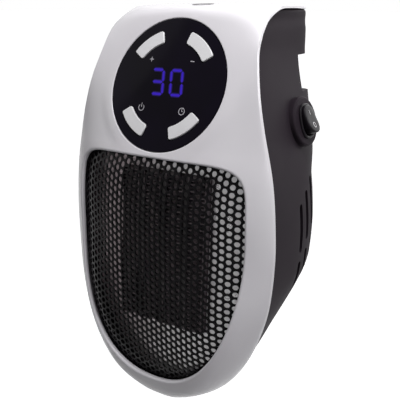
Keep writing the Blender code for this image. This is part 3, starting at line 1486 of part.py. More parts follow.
def build_leads(air_frame):
    """Mains leads from the pins, one from the switch, and pairs to the heater and the motor."""
    half_pin = PIN_SPACING / 2
    tail = -PLUG_HUB_DEPTH - PIN_TAIL - GAP
    behind = -POWER_BOARD_REACH + GAP
    before = -POWER_BOARD_REACH - BOARD_THICKNESS - GAP
    low_pad = -POWER_BOARD_DROP + BOARD_PAD_INSET
    middle = -SWITCH_DROP
    back = Vector((0.0, 1.0, 0.0))
    right = Vector((1.0, 0.0, 0.0))

    terminal_x = PAD_FACE + GAP + BEZEL_THICKNESS - SWITCH_BODY_DEPTH - 2 * GAP - TAB_LENGTH / 2
    upper = Vector((terminal_x, -SWITCH_REACH, middle + BEZEL_HEIGHT / 4))
    lower = Vector((terminal_x, -SWITCH_REACH, middle - BEZEL_HEIGHT / 4))
    start = Vector((half_pin, tail, 0.0))
    add_lead("mains_lead_switched", start, -back * SHORT_BEND, upper, -right * LONG_BEND)
    pad = Vector((POWER_BOARD_HALF_WIDTH * 2 / 3, behind, middle + BEZEL_HEIGHT / 3))
    add_lead("switch_lead", lower, -right * SHORT_BEND, pad, back * LONG_BEND)
    start = Vector((-half_pin, tail, 0.0))
    pad = Vector((-POWER_BOARD_HALF_WIDTH * 2 / 3, behind, middle / 2))
    add_lead("mains_lead_direct", start, -back * SHORT_BEND, pad, back * SHORT_BEND)

    _, far, _ = fan_depths()
    motor_end = far + GAP + MOTOR_LENGTH + GAP
    tab_end = CORE_DEPTH + GAP + TAB_THICKNESS + GAP
    tab_height = CORE_HEIGHT / 2 + GAP + END_CAP_HEIGHT / 2
    for name, side in (("left", -1), ("right", 1)):
        start = air_frame.matrix_world @ Vector((side * CORE_WIDTH / 4, tab_end, tab_height))
        pad = Vector((side * CORE_WIDTH / 4, before, low_pad))
        add_lead("heater_lead_" + name, start, back * LONG_BEND, pad, -back * LONG_BEND)
        start = air_frame.matrix_world @ Vector((side * MOTOR_TAB_PLACE, motor_end, 0.0))
        pad = Vector((side * MOTOR_TAB_PLACE, behind, low_pad))
        add_lead("motor_lead_" + name, start, back * SHORT_BEND, pad, back * LONG_BEND)


def main():
    clear_scene()
    depth_at = shell_surface()
    panel_frame = add_frame("panel_frame", (0.0, -PANEL_REACH, -PANEL_DROP), PANEL_TILT)
    air_frame = add_frame("air_frame", (0.0, -AIR_REACH, -AIR_DROP), AIR_LEAN)
    flange_depth = REFLECTOR_DEPTH + REFLECTOR_THICKNESS + GAP

    def air_front(height):
        local_height = (height + AIR_DROP) / math.cos(AIR_LEAN)
        return -AIR_REACH + flange_depth * math.cos(AIR_LEAN) + local_height * math.sin(AIR_LEAN)

    build_front_shell(depth_at, panel_frame, air_front)
    build_rear_housing()
    build_housing_screws()
    build_grille(depth_at)
    build_control_panel(panel_frame)
    build_keys(panel_frame)
    build_control_board(panel_frame)
    build_heater_core(air_frame)
    build_air_duct(air_frame)
    build_fan(air_frame)
    build_plug()
    build_side_switch()
    build_power_board()
    build_leads(air_frame)


main()
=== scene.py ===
import math

import bmesh
import bpy
import numpy as np
from mathutils import Matrix, Vector, geometry


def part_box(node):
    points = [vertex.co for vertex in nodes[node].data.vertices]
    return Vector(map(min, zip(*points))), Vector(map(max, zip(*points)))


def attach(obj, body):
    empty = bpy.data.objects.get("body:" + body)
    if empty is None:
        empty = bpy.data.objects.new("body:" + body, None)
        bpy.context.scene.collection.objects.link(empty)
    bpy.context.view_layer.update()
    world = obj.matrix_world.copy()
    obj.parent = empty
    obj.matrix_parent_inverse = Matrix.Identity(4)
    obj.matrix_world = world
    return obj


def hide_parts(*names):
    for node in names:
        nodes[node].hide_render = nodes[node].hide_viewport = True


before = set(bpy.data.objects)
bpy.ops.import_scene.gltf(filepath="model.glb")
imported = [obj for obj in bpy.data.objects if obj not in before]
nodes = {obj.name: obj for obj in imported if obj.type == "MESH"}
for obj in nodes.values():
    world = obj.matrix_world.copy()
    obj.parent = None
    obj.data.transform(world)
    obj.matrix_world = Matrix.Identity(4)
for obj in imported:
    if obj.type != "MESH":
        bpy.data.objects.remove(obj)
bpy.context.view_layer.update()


# Front cover: one injection moulding in white ABS from a polished mould, 1.8 mm thick. It runs
# from the hood over the keys and round the grille, and its edges are rounded where it was
# trimmed for the grille and the key lens. All sizes up to the studio's are in millimetres.
mm = 0.001

# Rows from the hood's back edge to the tip: how far forward the crown is, its height, the half
# width, how far forward the rim is, its height, and the fullness of the curve between them.
cover_rows = (
    (1.0, 28.3, 33.3, 1.0, 26.0, 4.0),
    (14.0, 28.3, 34.6, 12.0, 26.4, 4.0),
    (28.0, 28.1, 35.6, 22.0, 26.5, 4.0),
    (36.5, 27.6, 36.2, 29.0, 26.2, 4.0),
    (41.2, 27.1, 36.5, 34.5, 24.7, 4.0),
    (45.0, 26.3, 36.7, 40.5, 21.9, 4.0),
    (47.3, 24.3, 37.6, 45.2, 18.6, 4.0),
    (49.2, 20.0, 38.2, 48.4, 14.9, 4.0),
    (53.3, 10.1, 39.1, 51.6, 9.2, 4.0),
    (58.8, -3.7, 42.3, 56.2, -3.7, 4.0),
    (64.5, -17.6, 45.6, 58.0, -17.6, 3.3),
    (69.5, -29.7, 48.4, 58.0, -29.7, 3.1),
    (73.1, -40.0, 50.4, 58.0, -40.0, 2.8),
    (75.6, -54.1, 51.7, 58.0, -54.1, 2.6),
    (76.7, -70.9, 52.1, 58.0, -70.9, 2.4),
    (76.9, -92.0, 50.0, 58.0, -92.0, 3.5),
    (76.1, -110.0, 44.4, 58.0, -110.0, 5.0),
    (74.6, -123.9, 37.0, 58.0, -123.9, 5.8),
    (72.9, -134.0, 28.1, 58.0, -134.0, 5.4),
    (69.4, -141.0, 16.8, 58.0, -141.0, 3.6),
    (64.5, -144.3, 7.9, 58.0, -144.3, 3.0),
    (59.9, -145.5, 0.0, 58.0, -145.5, 2.2),
)
cover_wall = 1.8
cover_lip, hood_lip = 1.8, 1.0
cover_centre = -60.0
rim_squareness = 1.25
row_parts = 24
rim_blur = 31

# The lens lies on a flat of the crown, which fades into the cover's curve round it.
lens_centre = np.array((0.0, -58.8, -3.6))
lens_tilt = math.radians(22.1)
lens_up = np.array((0.0, math.sin(lens_tilt), math.cos(lens_tilt)))
lens_out = np.array((0.0, -math.cos(lens_tilt), math.sin(lens_tilt)))
lens_radius = 28.0
flat_margin, flat_fade = 0.6, 7.0
crown_flat, crown_fade = 27.0, 3.0


def track_of(rows, parts):
    """A smooth run of rows through the given ones, in equal parts of each span."""
    rows = np.array(rows)
    run = []
    for i in range(len(rows) - 1):
        a, b, c, d = rows[max(i - 1, 0)], rows[i], rows[i + 1], rows[min(i + 2, len(rows) - 1)]
        for k in range(parts):
            t = k / parts
            bend = (2 * a - 5 * b + 4 * c - d) * t**2 + (3 * b - a - 3 * c + d) * t**3
            run.append(b + ((c - a) * t + bend) / 2)
    run.append(rows[-1])
    return np.array(run)


cover_track = track_of(cover_rows, row_parts)
for column in (3, 4):
    line = np.pad(cover_track[:, column], (rim_blur - 3) // 2, mode="reflect", reflect_type="odd")
    weights = np.hanning(rim_blur)[1:-1]
    cover_track[:, column] = np.convolve(line, weights / weights.sum(), mode="valid")
above_lens = cover_track[:, 1] - lens_centre[2]
lens_line = -lens_centre[1] - above_lens * math.tan(lens_tilt)
near_lens = np.clip((crown_flat - np.abs(above_lens)) / crown_fade, 0, 1)
cover_track[:, 0] += (lens_line - cover_track[:, 0]) * near_lens
crown_steps = np.hypot(*np.diff(cover_track[:, :2], axis=0).T)
track_length = np.concatenate([[0], np.cumsum(crown_steps)])
rim_way = np.gradient(np.stack([-cover_track[:, 3], cover_track[:, 4]], axis=1), axis=0)
rim_way /= np.linalg.norm(rim_way, axis=1)[:, None]
lip_way = np.stack([-rim_way[:, 1], rim_way[:, 0]], axis=1)
cover_track = np.concatenate([cover_track, lip_way], axis=1)


def ease(share):
    """A share from nought to one that starts and ends softly."""
    return share * share * (3 - 2 * share)


def cover_point(x, s):
    """Points of the cover's outer face, x across and s along the crown."""
    x, s = np.broadcast_arrays(np.asarray(x, float), np.asarray(s, float))
    crown_y, crown_z, width, rim_y, rim_z, fullness, lip_y, lip_z = (
        np.interp(s, track_length, column) for column in cover_track.T
    )
    across = np.clip(np.abs(x) / np.maximum(width, 1e-6), 0, 1)
    fall = 1 - (1 - across**fullness) ** (1 / rim_squareness)
    lip = hood_lip + (cover_lip - hood_lip) * np.abs(lip_y)
    y = -crown_y + (-rim_y - lip_y * lip + crown_y) * fall
    z = crown_z + (rim_z - lip_z * lip - crown_z) * fall
    points = np.stack([x, y, z], axis=-1)
    local = points - lens_centre
    reach = np.hypot(x, local @ lens_up)
    flat = ease(1 - np.clip((reach - lens_radius - flat_margin) / flat_fade, 0, 1))
    return points - (local @ lens_out * flat)[..., None] * lens_out


def width_at(s):
    """Half width of the cover at a length along the crown."""
    return np.interp(s, track_length, cover_track[:, 2])


def cover_normal(x, s, probe=0.15):
    """Outward direction of the cover's face."""
    low = np.clip(s - probe, 0, track_length[-1])
    high = np.clip(s + probe, 0, track_length[-1])
    along = cover_point(x, high) - cover_point(x, low)
    across = cover_point(x + probe, s) - cover_point(x - probe, s)
    normal = np.cross(along, across)
    return normal / np.maximum(np.linalg.norm(normal, axis=-1), 1e-9)[..., None]


# The opening for the grille: nearly square above its widest line and half an egg below it.
opening_top, opening_widest, opening_foot = -32.4, -62.0, -131.5
opening_half, opening_taper = 42.9, 1.5
top_squareness, foot_squareness = 7, 2.2


def opening_half_width(height, grow):
    """Half width of the grille opening at a height, grown on all sides."""
    if height > opening_widest:
        share = min(1.0, (height - opening_widest) / (opening_top - opening_widest + grow))
        full = (1 - share**top_squareness) ** (1 / top_squareness)
        return (opening_half + grow - opening_taper * share * share) * full
    share = min(1.0, (opening_widest - height) / (opening_widest - opening_foot + grow))
    return (opening_half + grow) * (1 - share**foot_squareness) ** (1 / foot_squareness)


def opening_outline(grow, steps, top_steps=8):
    """The D-shaped grille opening, anticlockwise seen from the front."""
    top, foot = opening_top + grow, opening_foot - grow
    heights = []
    for step in range(1, steps):
        heights.append(foot + (opening_widest - foot) * (1 - math.cos(math.pi / 2 * step / steps)))
    for step in range(steps):
        heights.append(opening_widest + (top - opening_widest) * (1 - (1 - step / steps) ** 2))
    right = [(opening_half_width(height, grow), height) for height in heights]
    x, z = right[-1]
    for step in range(1, top_steps):
        share = step / top_steps
        right.append((x * (1 - share), z + (top - z) * share))
    left = [(-x, z) for x, z in reversed(right)]
    return [(0.0, foot)] + right + [(0.0, top)] + left


def inside(points, outline):
    """Which points lie inside an outline."""
    points, outline = np.asarray(points), np.asarray(outline)
    found = np.zeros(len(points), bool)
    for (x1, z1), (x2, z2) in zip(outline, np.roll(outline, -1, axis=0)):
        crosses = (z1 > points[:, 1]) != (z2 > points[:, 1])
        at = x1 + (points[:, 1] - z1) * (x2 - x1) / (z2 - z1 if z2 != z1 else 1e-9)
        found ^= crosses & (points[:, 0] < at)
    return found


def gap_to(points, outline):
    """How far points are from the nearest corner of an outline."""
    return np.linalg.norm(points[:, None, :] - np.asarray(outline)[None, :, :], axis=2).min(axis=1)


def fill_plane(loops, loose=()):
    """Triangles between the loops (the first is outside) and the loose points of a plane."""
    points = [p for loop in loops for p in loop] + [tuple(p) for p in loose]
    edges, start = [], 0
    for loop in loops:
        edges += [(start + i, start + (i + 1) % len(loop)) for i in range(len(loop))]
        start += len(loop)
    flat = [Vector((float(p[0]), float(p[1]))) for p in points]
    verts, _, faces, source, _, _ = geometry.delaunay_2d_cdt(flat, edges, [], 0, 1e-7)
    places = [tuple(vert) for vert in verts]
    centres = np.array(places)[np.array(faces)].mean(axis=1)
    keep = inside(centres, loops[0])
    for hole in loops[1:]:
        keep &= ~inside(centres, hole)
    first = {}
    for number, origins in enumerate(source):
        for origin in origins:
            first[origin] = number
    return places, [face for face, kept in zip(faces, keep) if kept], first


def add_object(name, maker, body, smooth=35.0, recalc=True):
    """Turn mesh code in millimetres into a named piece that rides on a body."""
    if recalc:
        bmesh.ops.recalc_face_normals(maker, faces=maker.faces)
    bmesh.ops.scale(maker, vec=(mm, mm, mm), verts=maker.verts)
    mesh = bpy.data.meshes.new(name)
    maker.to_mesh(mesh)
    maker.free()
    mesh.shade_smooth()
    mesh.set_sharp_from_angle(angle=math.radians(smooth))
    piece = bpy.data.objects.new(name, mesh)
    bpy.context.scene.collection.objects.link(piece)
    if body:
        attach(piece, body)
    return piece


def strip(maker, near, far):
    """Faces between two closed loops of corners."""
    for i in range(len(near)):
        j = (i + 1) % len(near)
        if len({near[i], near[j], far[j], far[i]}) > 3:
            maker.faces.new((near[i], near[j], far[j], far[i]))


def even_line(points, count):
    """A line of points in even steps."""
    points = np.asarray(points, float)
    length = np.concatenate([[0], np.cumsum(np.linalg.norm(np.diff(points, axis=0), axis=1))])
    even = np.linspace(0, length[-1], count)
    return np.stack([np.interp(even, length, column) for column in points.T], axis=1)


def inset_loop(loop, distance):
    """A loop moved inwards, for corners in anticlockwise order."""
    along = np.roll(loop, -1, axis=0) - np.roll(loop, 1, axis=0)
    along /= np.linalg.norm(along, axis=1)[:, None]
    return loop + distance * np.stack([-along[:, 1], along[:, 0]], axis=1)


def round_depth(distance, radius):
    """How deep a rounded edge lies at a distance from its wall."""
    reach = max(0.0, radius - distance)
    return radius - math.sqrt(radius * radius - reach * reach)


def settle(x, s, error, rounds=60, share=0.7):
    """Move points along the crown, a share of their error each round, until it is gone."""
    for _ in range(rounds):
        s = s + error(cover_point(x, s)) * share
    return np.stack([x, s], axis=1)


# Three edges, each as rings from the edge inwards, drawn in x and the length along the crown.
side_steps, back_steps, lens_steps, opening_steps = 170, 40, 144, 48
rim_insets = (0.0, 0.07, 0.22, 0.5, 0.95, 1.6, 2.5)
lens_insets = (0.0, 0.1, 0.22, 0.42, 0.6)
grille_insets = (0.0, 0.05, 0.16, 0.34, 0.58, 0.88, 1.15, 1.3)
lens_gap = 0.3
fine_steps = np.linspace(0, track_length[-1], 3000)
right_side = even_line(np.stack([width_at(fine_steps), fine_steps], axis=1), side_steps)
back_x = np.linspace(-1, 1, back_steps + 2)[1:-1] * width_at(0.0)
back_edge = np.stack([back_x, np.zeros(back_steps)], axis=1)
rim_loop = np.concatenate([right_side, right_side[-2::-1] * (-1, 1), back_edge])
rim_rings = [inset_loop(rim_loop, inset) for inset in rim_insets]
lens_rings, grille_rings = [], []
for inset in lens_insets:
    turn = np.linspace(0, math.tau, lens_steps, endpoint=False)
    x, rise = np.stack([np.cos(turn), np.sin(turn)]) * (lens_radius + lens_gap + inset)
    s = np.interp(-lens_centre[2] - rise * math.cos(lens_tilt), -cover_track[:, 1], track_length)
    lens_rings.append(settle(x, s, lambda points: (points - lens_centre) @ lens_up - rise))
for inset in grille_insets:
    x, z = np.array(opening_outline(inset, opening_steps)).T
    s = np.interp(-z, -cover_track[:, 1], track_length)
    grille_rings.append(settle(x, s, lambda points: points[:, 2] - z))


def loose_points(pitch, lens_clear, grille_clear, rim_clear):
    """A staggered grid over the cover, clear of its three edges."""
    reach, tip_clear, row_share = 54, 0.5, 0.87
    grid = []
    for row, s in enumerate(np.arange(pitch, track_length[-1] - tip_clear, pitch * row_share)):
        for x in np.arange(-reach, reach, pitch) + (pitch / 2 if row % 2 else 0):
            grid.append((x, s))
    grid = np.array(grid)
    grid = grid[inside(grid, rim_loop) & (gap_to(grid, rim_loop) > rim_clear)]
    for ring, clear in ((lens_rings[0], lens_clear), (grille_rings[0], grille_clear)):
        grid = grid[~inside(grid, ring) & (gap_to(grid, ring) > clear)]
    return grid


# The outer face is finely meshed, and the rings of each edge round it over.
backwards = np.array((0.0, 1.0, 0.0))
lens_edge_round, grille_edge_round = 0.45, 1.2
rims = (
    (rim_rings, rim_insets, backwards, 0.0),
    (lens_rings, lens_insets, -lens_out, lens_edge_round),
    (grille_rings, grille_insets, backwards, grille_edge_round),
)
maker = bmesh.new()
fine = loose_points(pitch=1.5, lens_clear=1.8, grille_clear=2.9, rim_clear=3.3)
places, faces, first = fill_plane([rings[-1] for rings, _, _, _ in rims], fine)
skin = [maker.verts.new(p) for p in cover_point(*np.array(places).T)]
for face in faces:
    maker.faces.new([skin[i] for i in face])
edges, start = [], 0
for rings, insets, way, radius in rims:
    near = [skin[first[start + k]] for k in range(len(rings[-1]))]
    start += len(near)
    for number in reversed(range(len(rings) - 1)):
        points = cover_point(*rings[number].T)
        if radius:
            points = points + way * round_depth(insets[number], radius)
        far = [maker.verts.new(p) for p in points]
        strip(maker, near, far)
        near = far
    edges.append(near)

# The inner face is coarser and lies one wall inside, and a lip joins the two faces at the rim.
lens_land, grille_land = 1.9, 1.0
back_lean, back_lip = 0.25, 0.3
coarse = loose_points(pitch=4.0, lens_clear=3.5, grille_clear=3.5, rim_clear=3.0)
places, faces, first = fill_plane([rim_loop, lens_rings[0], grille_rings[0]], coarse)
flat = np.array(places)
inner = cover_point(*flat.T) - cover_wall * cover_normal(*flat.T)
lips = []
for k, (x, s) in enumerate(rim_loop):
    if k >= len(rim_loop) - back_steps:
        edge = cover_point(x, s)
        lips.append(maker.verts.new(edge + (0, back_lean, -back_lip)))
        inner[first[k]] = edge + (0, back_lean, -cover_wall)
        continue
    y = -np.interp(s, track_length, cover_track[:, 3])
    z = np.interp(s, track_length, cover_track[:, 4])
    lips.append(maker.verts.new((x, y, z)))
    rise = z - cover_centre
    scale = 1 - cover_wall / math.hypot(x, rise)
    if rise < 0:
        inner[first[k]] = (x * scale, y, cover_centre + rise * scale)
    else:
        inner[first[k]] = (x - math.copysign(cover_wall, x), y, z)
start = len(rim_loop)
for edge, drop in ((edges[1], -lens_land * lens_out), (edges[2], grille_land * backwards)):
    for k, corner in enumerate(edge):
        inner[first[start + k]] = np.array(corner.co) + drop
    start += len(edge)
back = [maker.verts.new(p) for p in inner]
for face in faces:
    maker.faces.new([back[i] for i in reversed(face)])
strip(maker, edges[0], lips)
start = 0
for edge in (lips, edges[1], edges[2]):
    strip(maker, edge, [back[first[start + k]] for k in range(len(edge))])
    start += len(edge)
cover = add_object("white_cover", maker, "casing", smooth=62.0)
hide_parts("front_shell")


def colour(code):
    """An sRGB hex colour as linear RGBA."""
    parts = [int(code[i : i + 2], 16) / 255 for i in (1, 3, 5)]
    return [c / 12.92 if c <= 0.04045 else ((c + 0.055) / 1.055) ** 2.4 for c in parts] + [1.0]


def add_node(owner, kind, links=None, **settings):
    """Add a node with its settings and the outputs that feed its inputs."""
    node = owner.node_tree.nodes.new("ShaderNode" + kind)
    for name, value in settings.items():
        if hasattr(node, name):
            setattr(node, name, value)
        else:
            node.inputs[name.replace("_", " ").title()].default_value = value
    for name, output in (links or {}).items():
        owner.node_tree.links.new(output, node.inputs[name])
    return node


def new_finish(
    name, base, roughness, tones=None, gloss=None, patch=None, bump=0.0, grain=0.2, metallic=0.0, ior=None,
    glint=0.5, glow=None,
):
    """
    A material named for what it is. Its colour can wander between two tones and its roughness
    between two values over patches of a size, and a fine grain can break the gloss.
    """
    material = bpy.data.materials.new(name)
    material.use_nodes = True
    shader = material.node_tree.nodes["Principled BSDF"]
    plain = {"Roughness": roughness, "Metallic": metallic, "Specular IOR Level": glint}
    plain["Base Color"] = colour(base)
    if ior:
        plain["IOR"] = ior
    if glow:
        plain["Emission Color"] = colour(glow)
        plain["Emission Strength"] = 1.0
    for socket, value in plain.items():
        shader.inputs[socket].default_value = value
    if not tones:
        return material

    tone_span, gloss_span, relief_depth = (0.35, 0.65), (0.3, 0.7), 0.05
    place = add_node(material, "TexCoord").outputs["Object"]
    patches = add_node(material, "TexNoise", {"Vector": place}, Scale=1 / (patch * mm), Detail=3.0)
    tint = add_node(material, "ValToRGB", {"Fac": patches.outputs["Fac"]})
    for element, position, tone in zip(tint.color_ramp.elements, tone_span, tones):
        element.position = position
        element.color = colour(tone)
    wander = add_node(
        material, "MapRange", {"Value": patches.outputs["Fac"]},
        From_Min=gloss_span[0], From_Max=gloss_span[1], To_Min=gloss[0], To_Max=gloss[1],
    )
    links = material.node_tree.links
    links.new(tint.outputs["Color"], shader.inputs["Base Color"])
    links.new(wander.outputs["Result"], shader.inputs["Roughness"])
    if bump:
        texture = add_node(material, "TexNoise", {"Vector": place}, Scale=1 / (grain * mm), Detail=2.0)
        height = {"Height": texture.outputs["Fac"]}
        relief = add_node(material, "Bump", height, Strength=bump, Distance=relief_depth * mm)
        links.new(relief.outputs["Normal"], shader.inputs["Normal"])
    return material


# Polished ABS: an even white with a soft gloss, and the faint waviness that cooling leaves.
polished_abs = new_finish(
    "polished_white_abs", "#ebe7ed", 0.24, tones=("#e9e5eb", "#edeaef"), gloss=(0.20, 0.27), patch=30.0,
    bump=0.03, grain=6.0, ior=1.54, glint=0.35,
)
cover.data.materials.append(polished_abs)


# Hood ring: a plain low bead round the middle of the hood, moulded with the cover. Its crest is coloured a
# grey that looks dull beside the polished white.
ring_along, ring_steps = 31.0, 72
bead = ((3.6, -0.1), (3.65, 0.12), (3.9, 0.2), (4.5, 0.2), (4.75, 0.12), (4.8, -0.1))
maker = bmesh.new()
loops = []
for radius, rise in bead:
    turn = np.linspace(0, math.tau, ring_steps, endpoint=False)
    points = cover_point(radius * np.cos(turn), ring_along + radius * np.sin(turn)) + (0.0, 0.0, rise)
    loops.append([maker.verts.new(p) for p in points])
for near, far in zip(loops, loops[1:] + loops[:1]):
    strip(maker, near, far)
hood_ring = add_object("hood_ring", maker, "casing")
ring_grey = new_finish(
    "ring_crest_grey", "#5c585c", 0.5, tones=("#565256", "#625e62"), gloss=(0.45, 0.55), patch=3.0, ior=1.5,
)
hood_ring.data.materials.append(ring_grey)


# Grille: one steel sheet, punched with six-sided holes 3 mm apart, pressed into a shallow dome
# and dipped in black enamel. It lies behind the cover's opening.
hole_pitch, hole_web = 3.03, 0.78
hole_radius = (hole_pitch - hole_web) / math.sqrt(3)
corner_cut_share = 0.24
column_pitch = hole_pitch * math.sqrt(3) / 2
columns_each_side, row_count = 17, 34
even_column_top, odd_column_top = -33.95, -35.47
plain_border, hidden_flange = 0.6, 0.9
sheet_thick = 0.8
sheet_front = -74.35
edge_drop, dome_rise = 2.75, 1.1
dome_start, dome_reach = 1.2, 8.0
border = opening_outline(-plain_border, steps=24)
sheet_edge = opening_outline(hidden_flange, steps=24)


def sheet_depth(points):
    """Y of the grille's front face at points of the XZ plane: a pillow, deeper at its border."""
    lowest, highest = -140.0, -20.0
    x, z = points[:, 0], np.clip(points[:, 1], lowest, highest)

    def face(px, pz):
        return cover_point(px, np.interp(-pz, -cover_track[:, 1], track_length))[..., 1]

    probe, softness = 1.8, 0.5
    across = (face(x + probe, z) - face(x - probe, z)) / (2 * probe)
    along = (face(x, z + probe) - face(x, z - probe)) / (2 * probe)
    swell = ease(np.clip((gap_to(points, sheet_edge) - dome_start) / dome_reach, 0, 1))
    depth = face(x, z) + (edge_drop - dome_rise * swell) * np.sqrt(1 + across**2 + along**2)
    return softness * np.logaddexp(0, (depth - sheet_front) / softness) + sheet_front


def arc_points(radius, steps, x=0.0, z=0.0, start=0.0, sweep=math.tau):
    """Points round an arc in even steps. A full circle doesn't repeat its first point."""
    turns = [start + sweep * k / steps for k in range(steps + (sweep < math.tau))]
    return [(x + radius * math.cos(a), z + radius * math.sin(a)) for a in turns]


def hole_corners(x, z):
    """A six-sided hole with each corner cut off."""
    corners = [Vector(p) for p in arc_points(hole_radius, 6, x, z)]
    cut = []
    for k, corner in enumerate(corners):
        cut.append(corner.lerp(corners[k - 1], corner_cut_share))
        cut.append(corner.lerp(corners[(k + 1) % 6], corner_cut_share))
    return cut


def close_sheet(maker, faces, front, rear):
    """Skin both sides of a sheet, wall its cut edges, and drop the corners that are left over."""
    sides = {}
    for face in faces:
        maker.faces.new([front[i] for i in face])
        maker.faces.new([rear[i] for i in reversed(face)])
        for i in range(len(face)):
            sides[face[i], face[(i + 1) % len(face)]] = True
    for i, j in sides:
        if (j, i) not in sides:
            maker.faces.new((front[j], front[i], rear[i], rear[j]))
    bmesh.ops.delete(maker, geom=[v for v in maker.verts if not v.link_faces], context="VERTS")


# The sheet is loop 0, its punched field loop 1 and each hole a loop of its own. What lies both in
# the field and in a hole is left out.
points = [Vector(p) for p in sheet_edge + border]
loops = [list(range(len(sheet_edge))), list(range(len(sheet_edge), len(points)))]
for column in range(-columns_each_side, columns_each_side + 1):
    top = odd_column_top if column % 2 else even_column_top
    for row in range(row_count):
        corners = hole_corners(column * column_pitch, top - row * hole_pitch)
        if inside(corners, border).any():
            loops.append(list(range(len(points), len(points) + len(corners))))
            points += corners
verts, _, faces, _, _, origins = geometry.delaunay_2d_cdt(points, [], loops, 1, 1e-6)
kept = [face for face, origin in zip(faces, origins) if not (1 in origin and max(origin) > 1)]
flat = np.array([tuple(v) for v in verts])
depths = sheet_depth(flat)
maker = bmesh.new()
front = [maker.verts.new((x, y, z)) for (x, z), y in zip(flat, depths)]
rear = [maker.verts.new((x, y + sheet_thick, z)) for (x, z), y in zip(flat, depths)]
close_sheet(maker, kept, front, rear)
mesh_sheet = add_object("grille_mesh", maker, "casing", smooth=40.0)
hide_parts("grille")
# Enamelled steel: the glaze is black and wet-looking, its gloss wandering a little over small patches.
black_enamel = new_finish(
    "black_enamelled_steel", "#080609", 0.22, tones=("#060507", "#0c0a0d"), gloss=(0.18, 0.3), patch=4.0,
    bump=0.08, grain=0.8, ior=1.5, glint=0.07,
)
mesh_sheet.data.materials.append(black_enamel)


# Heater core: aluminium strip folded to and fro between thin plates and pressed against flat
# ceramic heating bars, in four columns. It leans back a little, square to the airflow.
core_height, core_lean = 67.6, math.radians(4.1)
core_place = Matrix.Translation(Vector((0.0, -64.3, -73.7))) @ Matrix.Rotation(-core_lean, 4, "X")
end_gap, column_gap = 0.05, 0.02
core_half = core_height / 2 - end_gap
fold_pitch, fold_inset, strip_thick = 1.5, 0.35, 0.24
strip_front, strip_back = 0.4, 12.6
plate_thick, plate_depth = 0.3, 13.0


def add_block(maker, low, high, place=Matrix.Identity(4)):
    """A plain block between two corners."""
    v = []
    for z in (low[2], high[2]):
        for y in (low[1], high[1]):
            v += [maker.verts.new(place @ Vector((x, y, z))) for x in (low[0], high[0])]
    for face in ((0, 1, 3, 2), (4, 6, 7, 5), (0, 4, 5, 1), (2, 3, 7, 6), (0, 2, 6, 4), (1, 5, 7, 3)):
        maker.faces.new([v[i] for i in face])


# Aluminium coloured darker than it is, as painted shade for the recess behind the mesh: only its folds and
# edges catch the light.
shade_dark_strip = new_finish(
    "aluminium_darkened_for_shade", "#6b6266", 0.42, tones=("#585054", "#7d7478"), gloss=(0.35, 0.55), patch=5.0,
    bump=0.3, grain=0.5, metallic=1.0,
)
for name in ("heater_fins_1", "heater_fins_2", "heater_fins_3", "heater_fins_4"):
    low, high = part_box(name)
    left, right = low.x / mm + column_gap, high.x / mm - column_gap
    maker = bmesh.new()
    fold_count = int(2 * core_half / fold_pitch * 2)
    half = strip_thick / 2
    section = ((strip_front, half), (strip_back, half), (strip_back, -half), (strip_front, -half))
    folds = []
    for k in range(fold_count + 1):
        x = right - fold_inset if k % 2 else left + fold_inset
        z = -core_half + 2 * core_half * k / fold_count
        folds.append([maker.verts.new(core_place @ Vector((x, y, z + rise))) for y, rise in section])
    for near, far in zip(folds, folds[1:]):
        strip(maker, near, far)
    maker.faces.new(folds[0][::-1])
    maker.faces.new(folds[-1])
    for side in (left, right - plate_thick):
        add_block(maker, (side, 0.0, -core_half), (side + plate_thick, plate_depth, core_half), core_place)
    fins = add_object(name.replace("heater_fins", "folded_fins"), maker, "casing", smooth=20.0)
    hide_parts(name)
    fins.data.materials.append(shade_dark_strip)


def finish_nodes(names, material):
    """Give CAD nodes a material in place of their plain one."""
    for name in names:
        nodes[name].data.materials.clear()
        nodes[name].data.materials.append(material)


# Fired ceramic: a dull dark grey, speckled like fine grit.
grey_ceramic = new_finish(
    "grey_heating_ceramic", "#2a2627", 0.6, tones=("#241f21", "#332e30"), gloss=(0.5, 0.7), patch=3.0,
    bump=0.2, grain=0.3, ior=1.6,
)
finish_nodes([f"heater_bar_{k}" for k in (1, 2, 3)], grey_ceramic)


# Reflector: a tray of bright-rolled aluminium round the core, which throws its heat forward. It
# is folded from one sheet and held by the duct.
# Where the painted shade on the tray's left half starts and ends, across it in metres.
shade_from, shade_to = -30 * mm, 18 * mm
# Bright-rolled aluminium: a soft mirror with the faint waves of the rolls.
bright_tray = new_finish(
    "bright_rolled_aluminium", "#e6e4e6", 0.3, tones=("#dedcde", "#ecebec"), gloss=(0.26, 0.36), patch=8.0,
    bump=0.1, grain=1.5, metallic=0.75,
)
# Painted shade: its left half is coloured a darker brownish grey for the shade and dark reflections there,
# fading out past the middle.
place = add_node(bright_tray, "TexCoord").outputs["Object"]
across = add_node(bright_tray, "SeparateXYZ", {"Vector": place}).outputs["X"]
painted_shade = add_node(
    bright_tray, "MapRange", {"Value": across}, interpolation_type="SMOOTHSTEP",
    From_Min=shade_from, From_Max=shade_to,
)
shade_tinted = add_node(
    bright_tray, "MixRGB", {"Fac": painted_shade.outputs["Result"]},
    Color1=colour("#a89a9e"), Color2=colour("#efedef"),
)
tray_base = bright_tray.node_tree.nodes["Principled BSDF"].inputs["Base Color"]
bright_tray.node_tree.links.new(shade_tinted.outputs["Color"], tray_base)
finish_nodes(["reflector"], bright_tray)


# Duct, fan frame, end caps and ring: injection mouldings in glass-filled nylon, which stands the
# heat. Screws and the core's ends hold them. It looks dull grey-black and fibre-flecked.
filled_nylon = new_finish(
    "glass_filled_nylon", "#38353a", 0.6, tones=("#312e33", "#423e44"), gloss=(0.52, 0.7), patch=2.0,
    bump=0.3, grain=0.4, ior=1.53,
)
finish_nodes(["air_duct", "fan_frame", "heater_end_cap_1", "heater_end_cap_2", "plug_retainer"], filled_nylon)


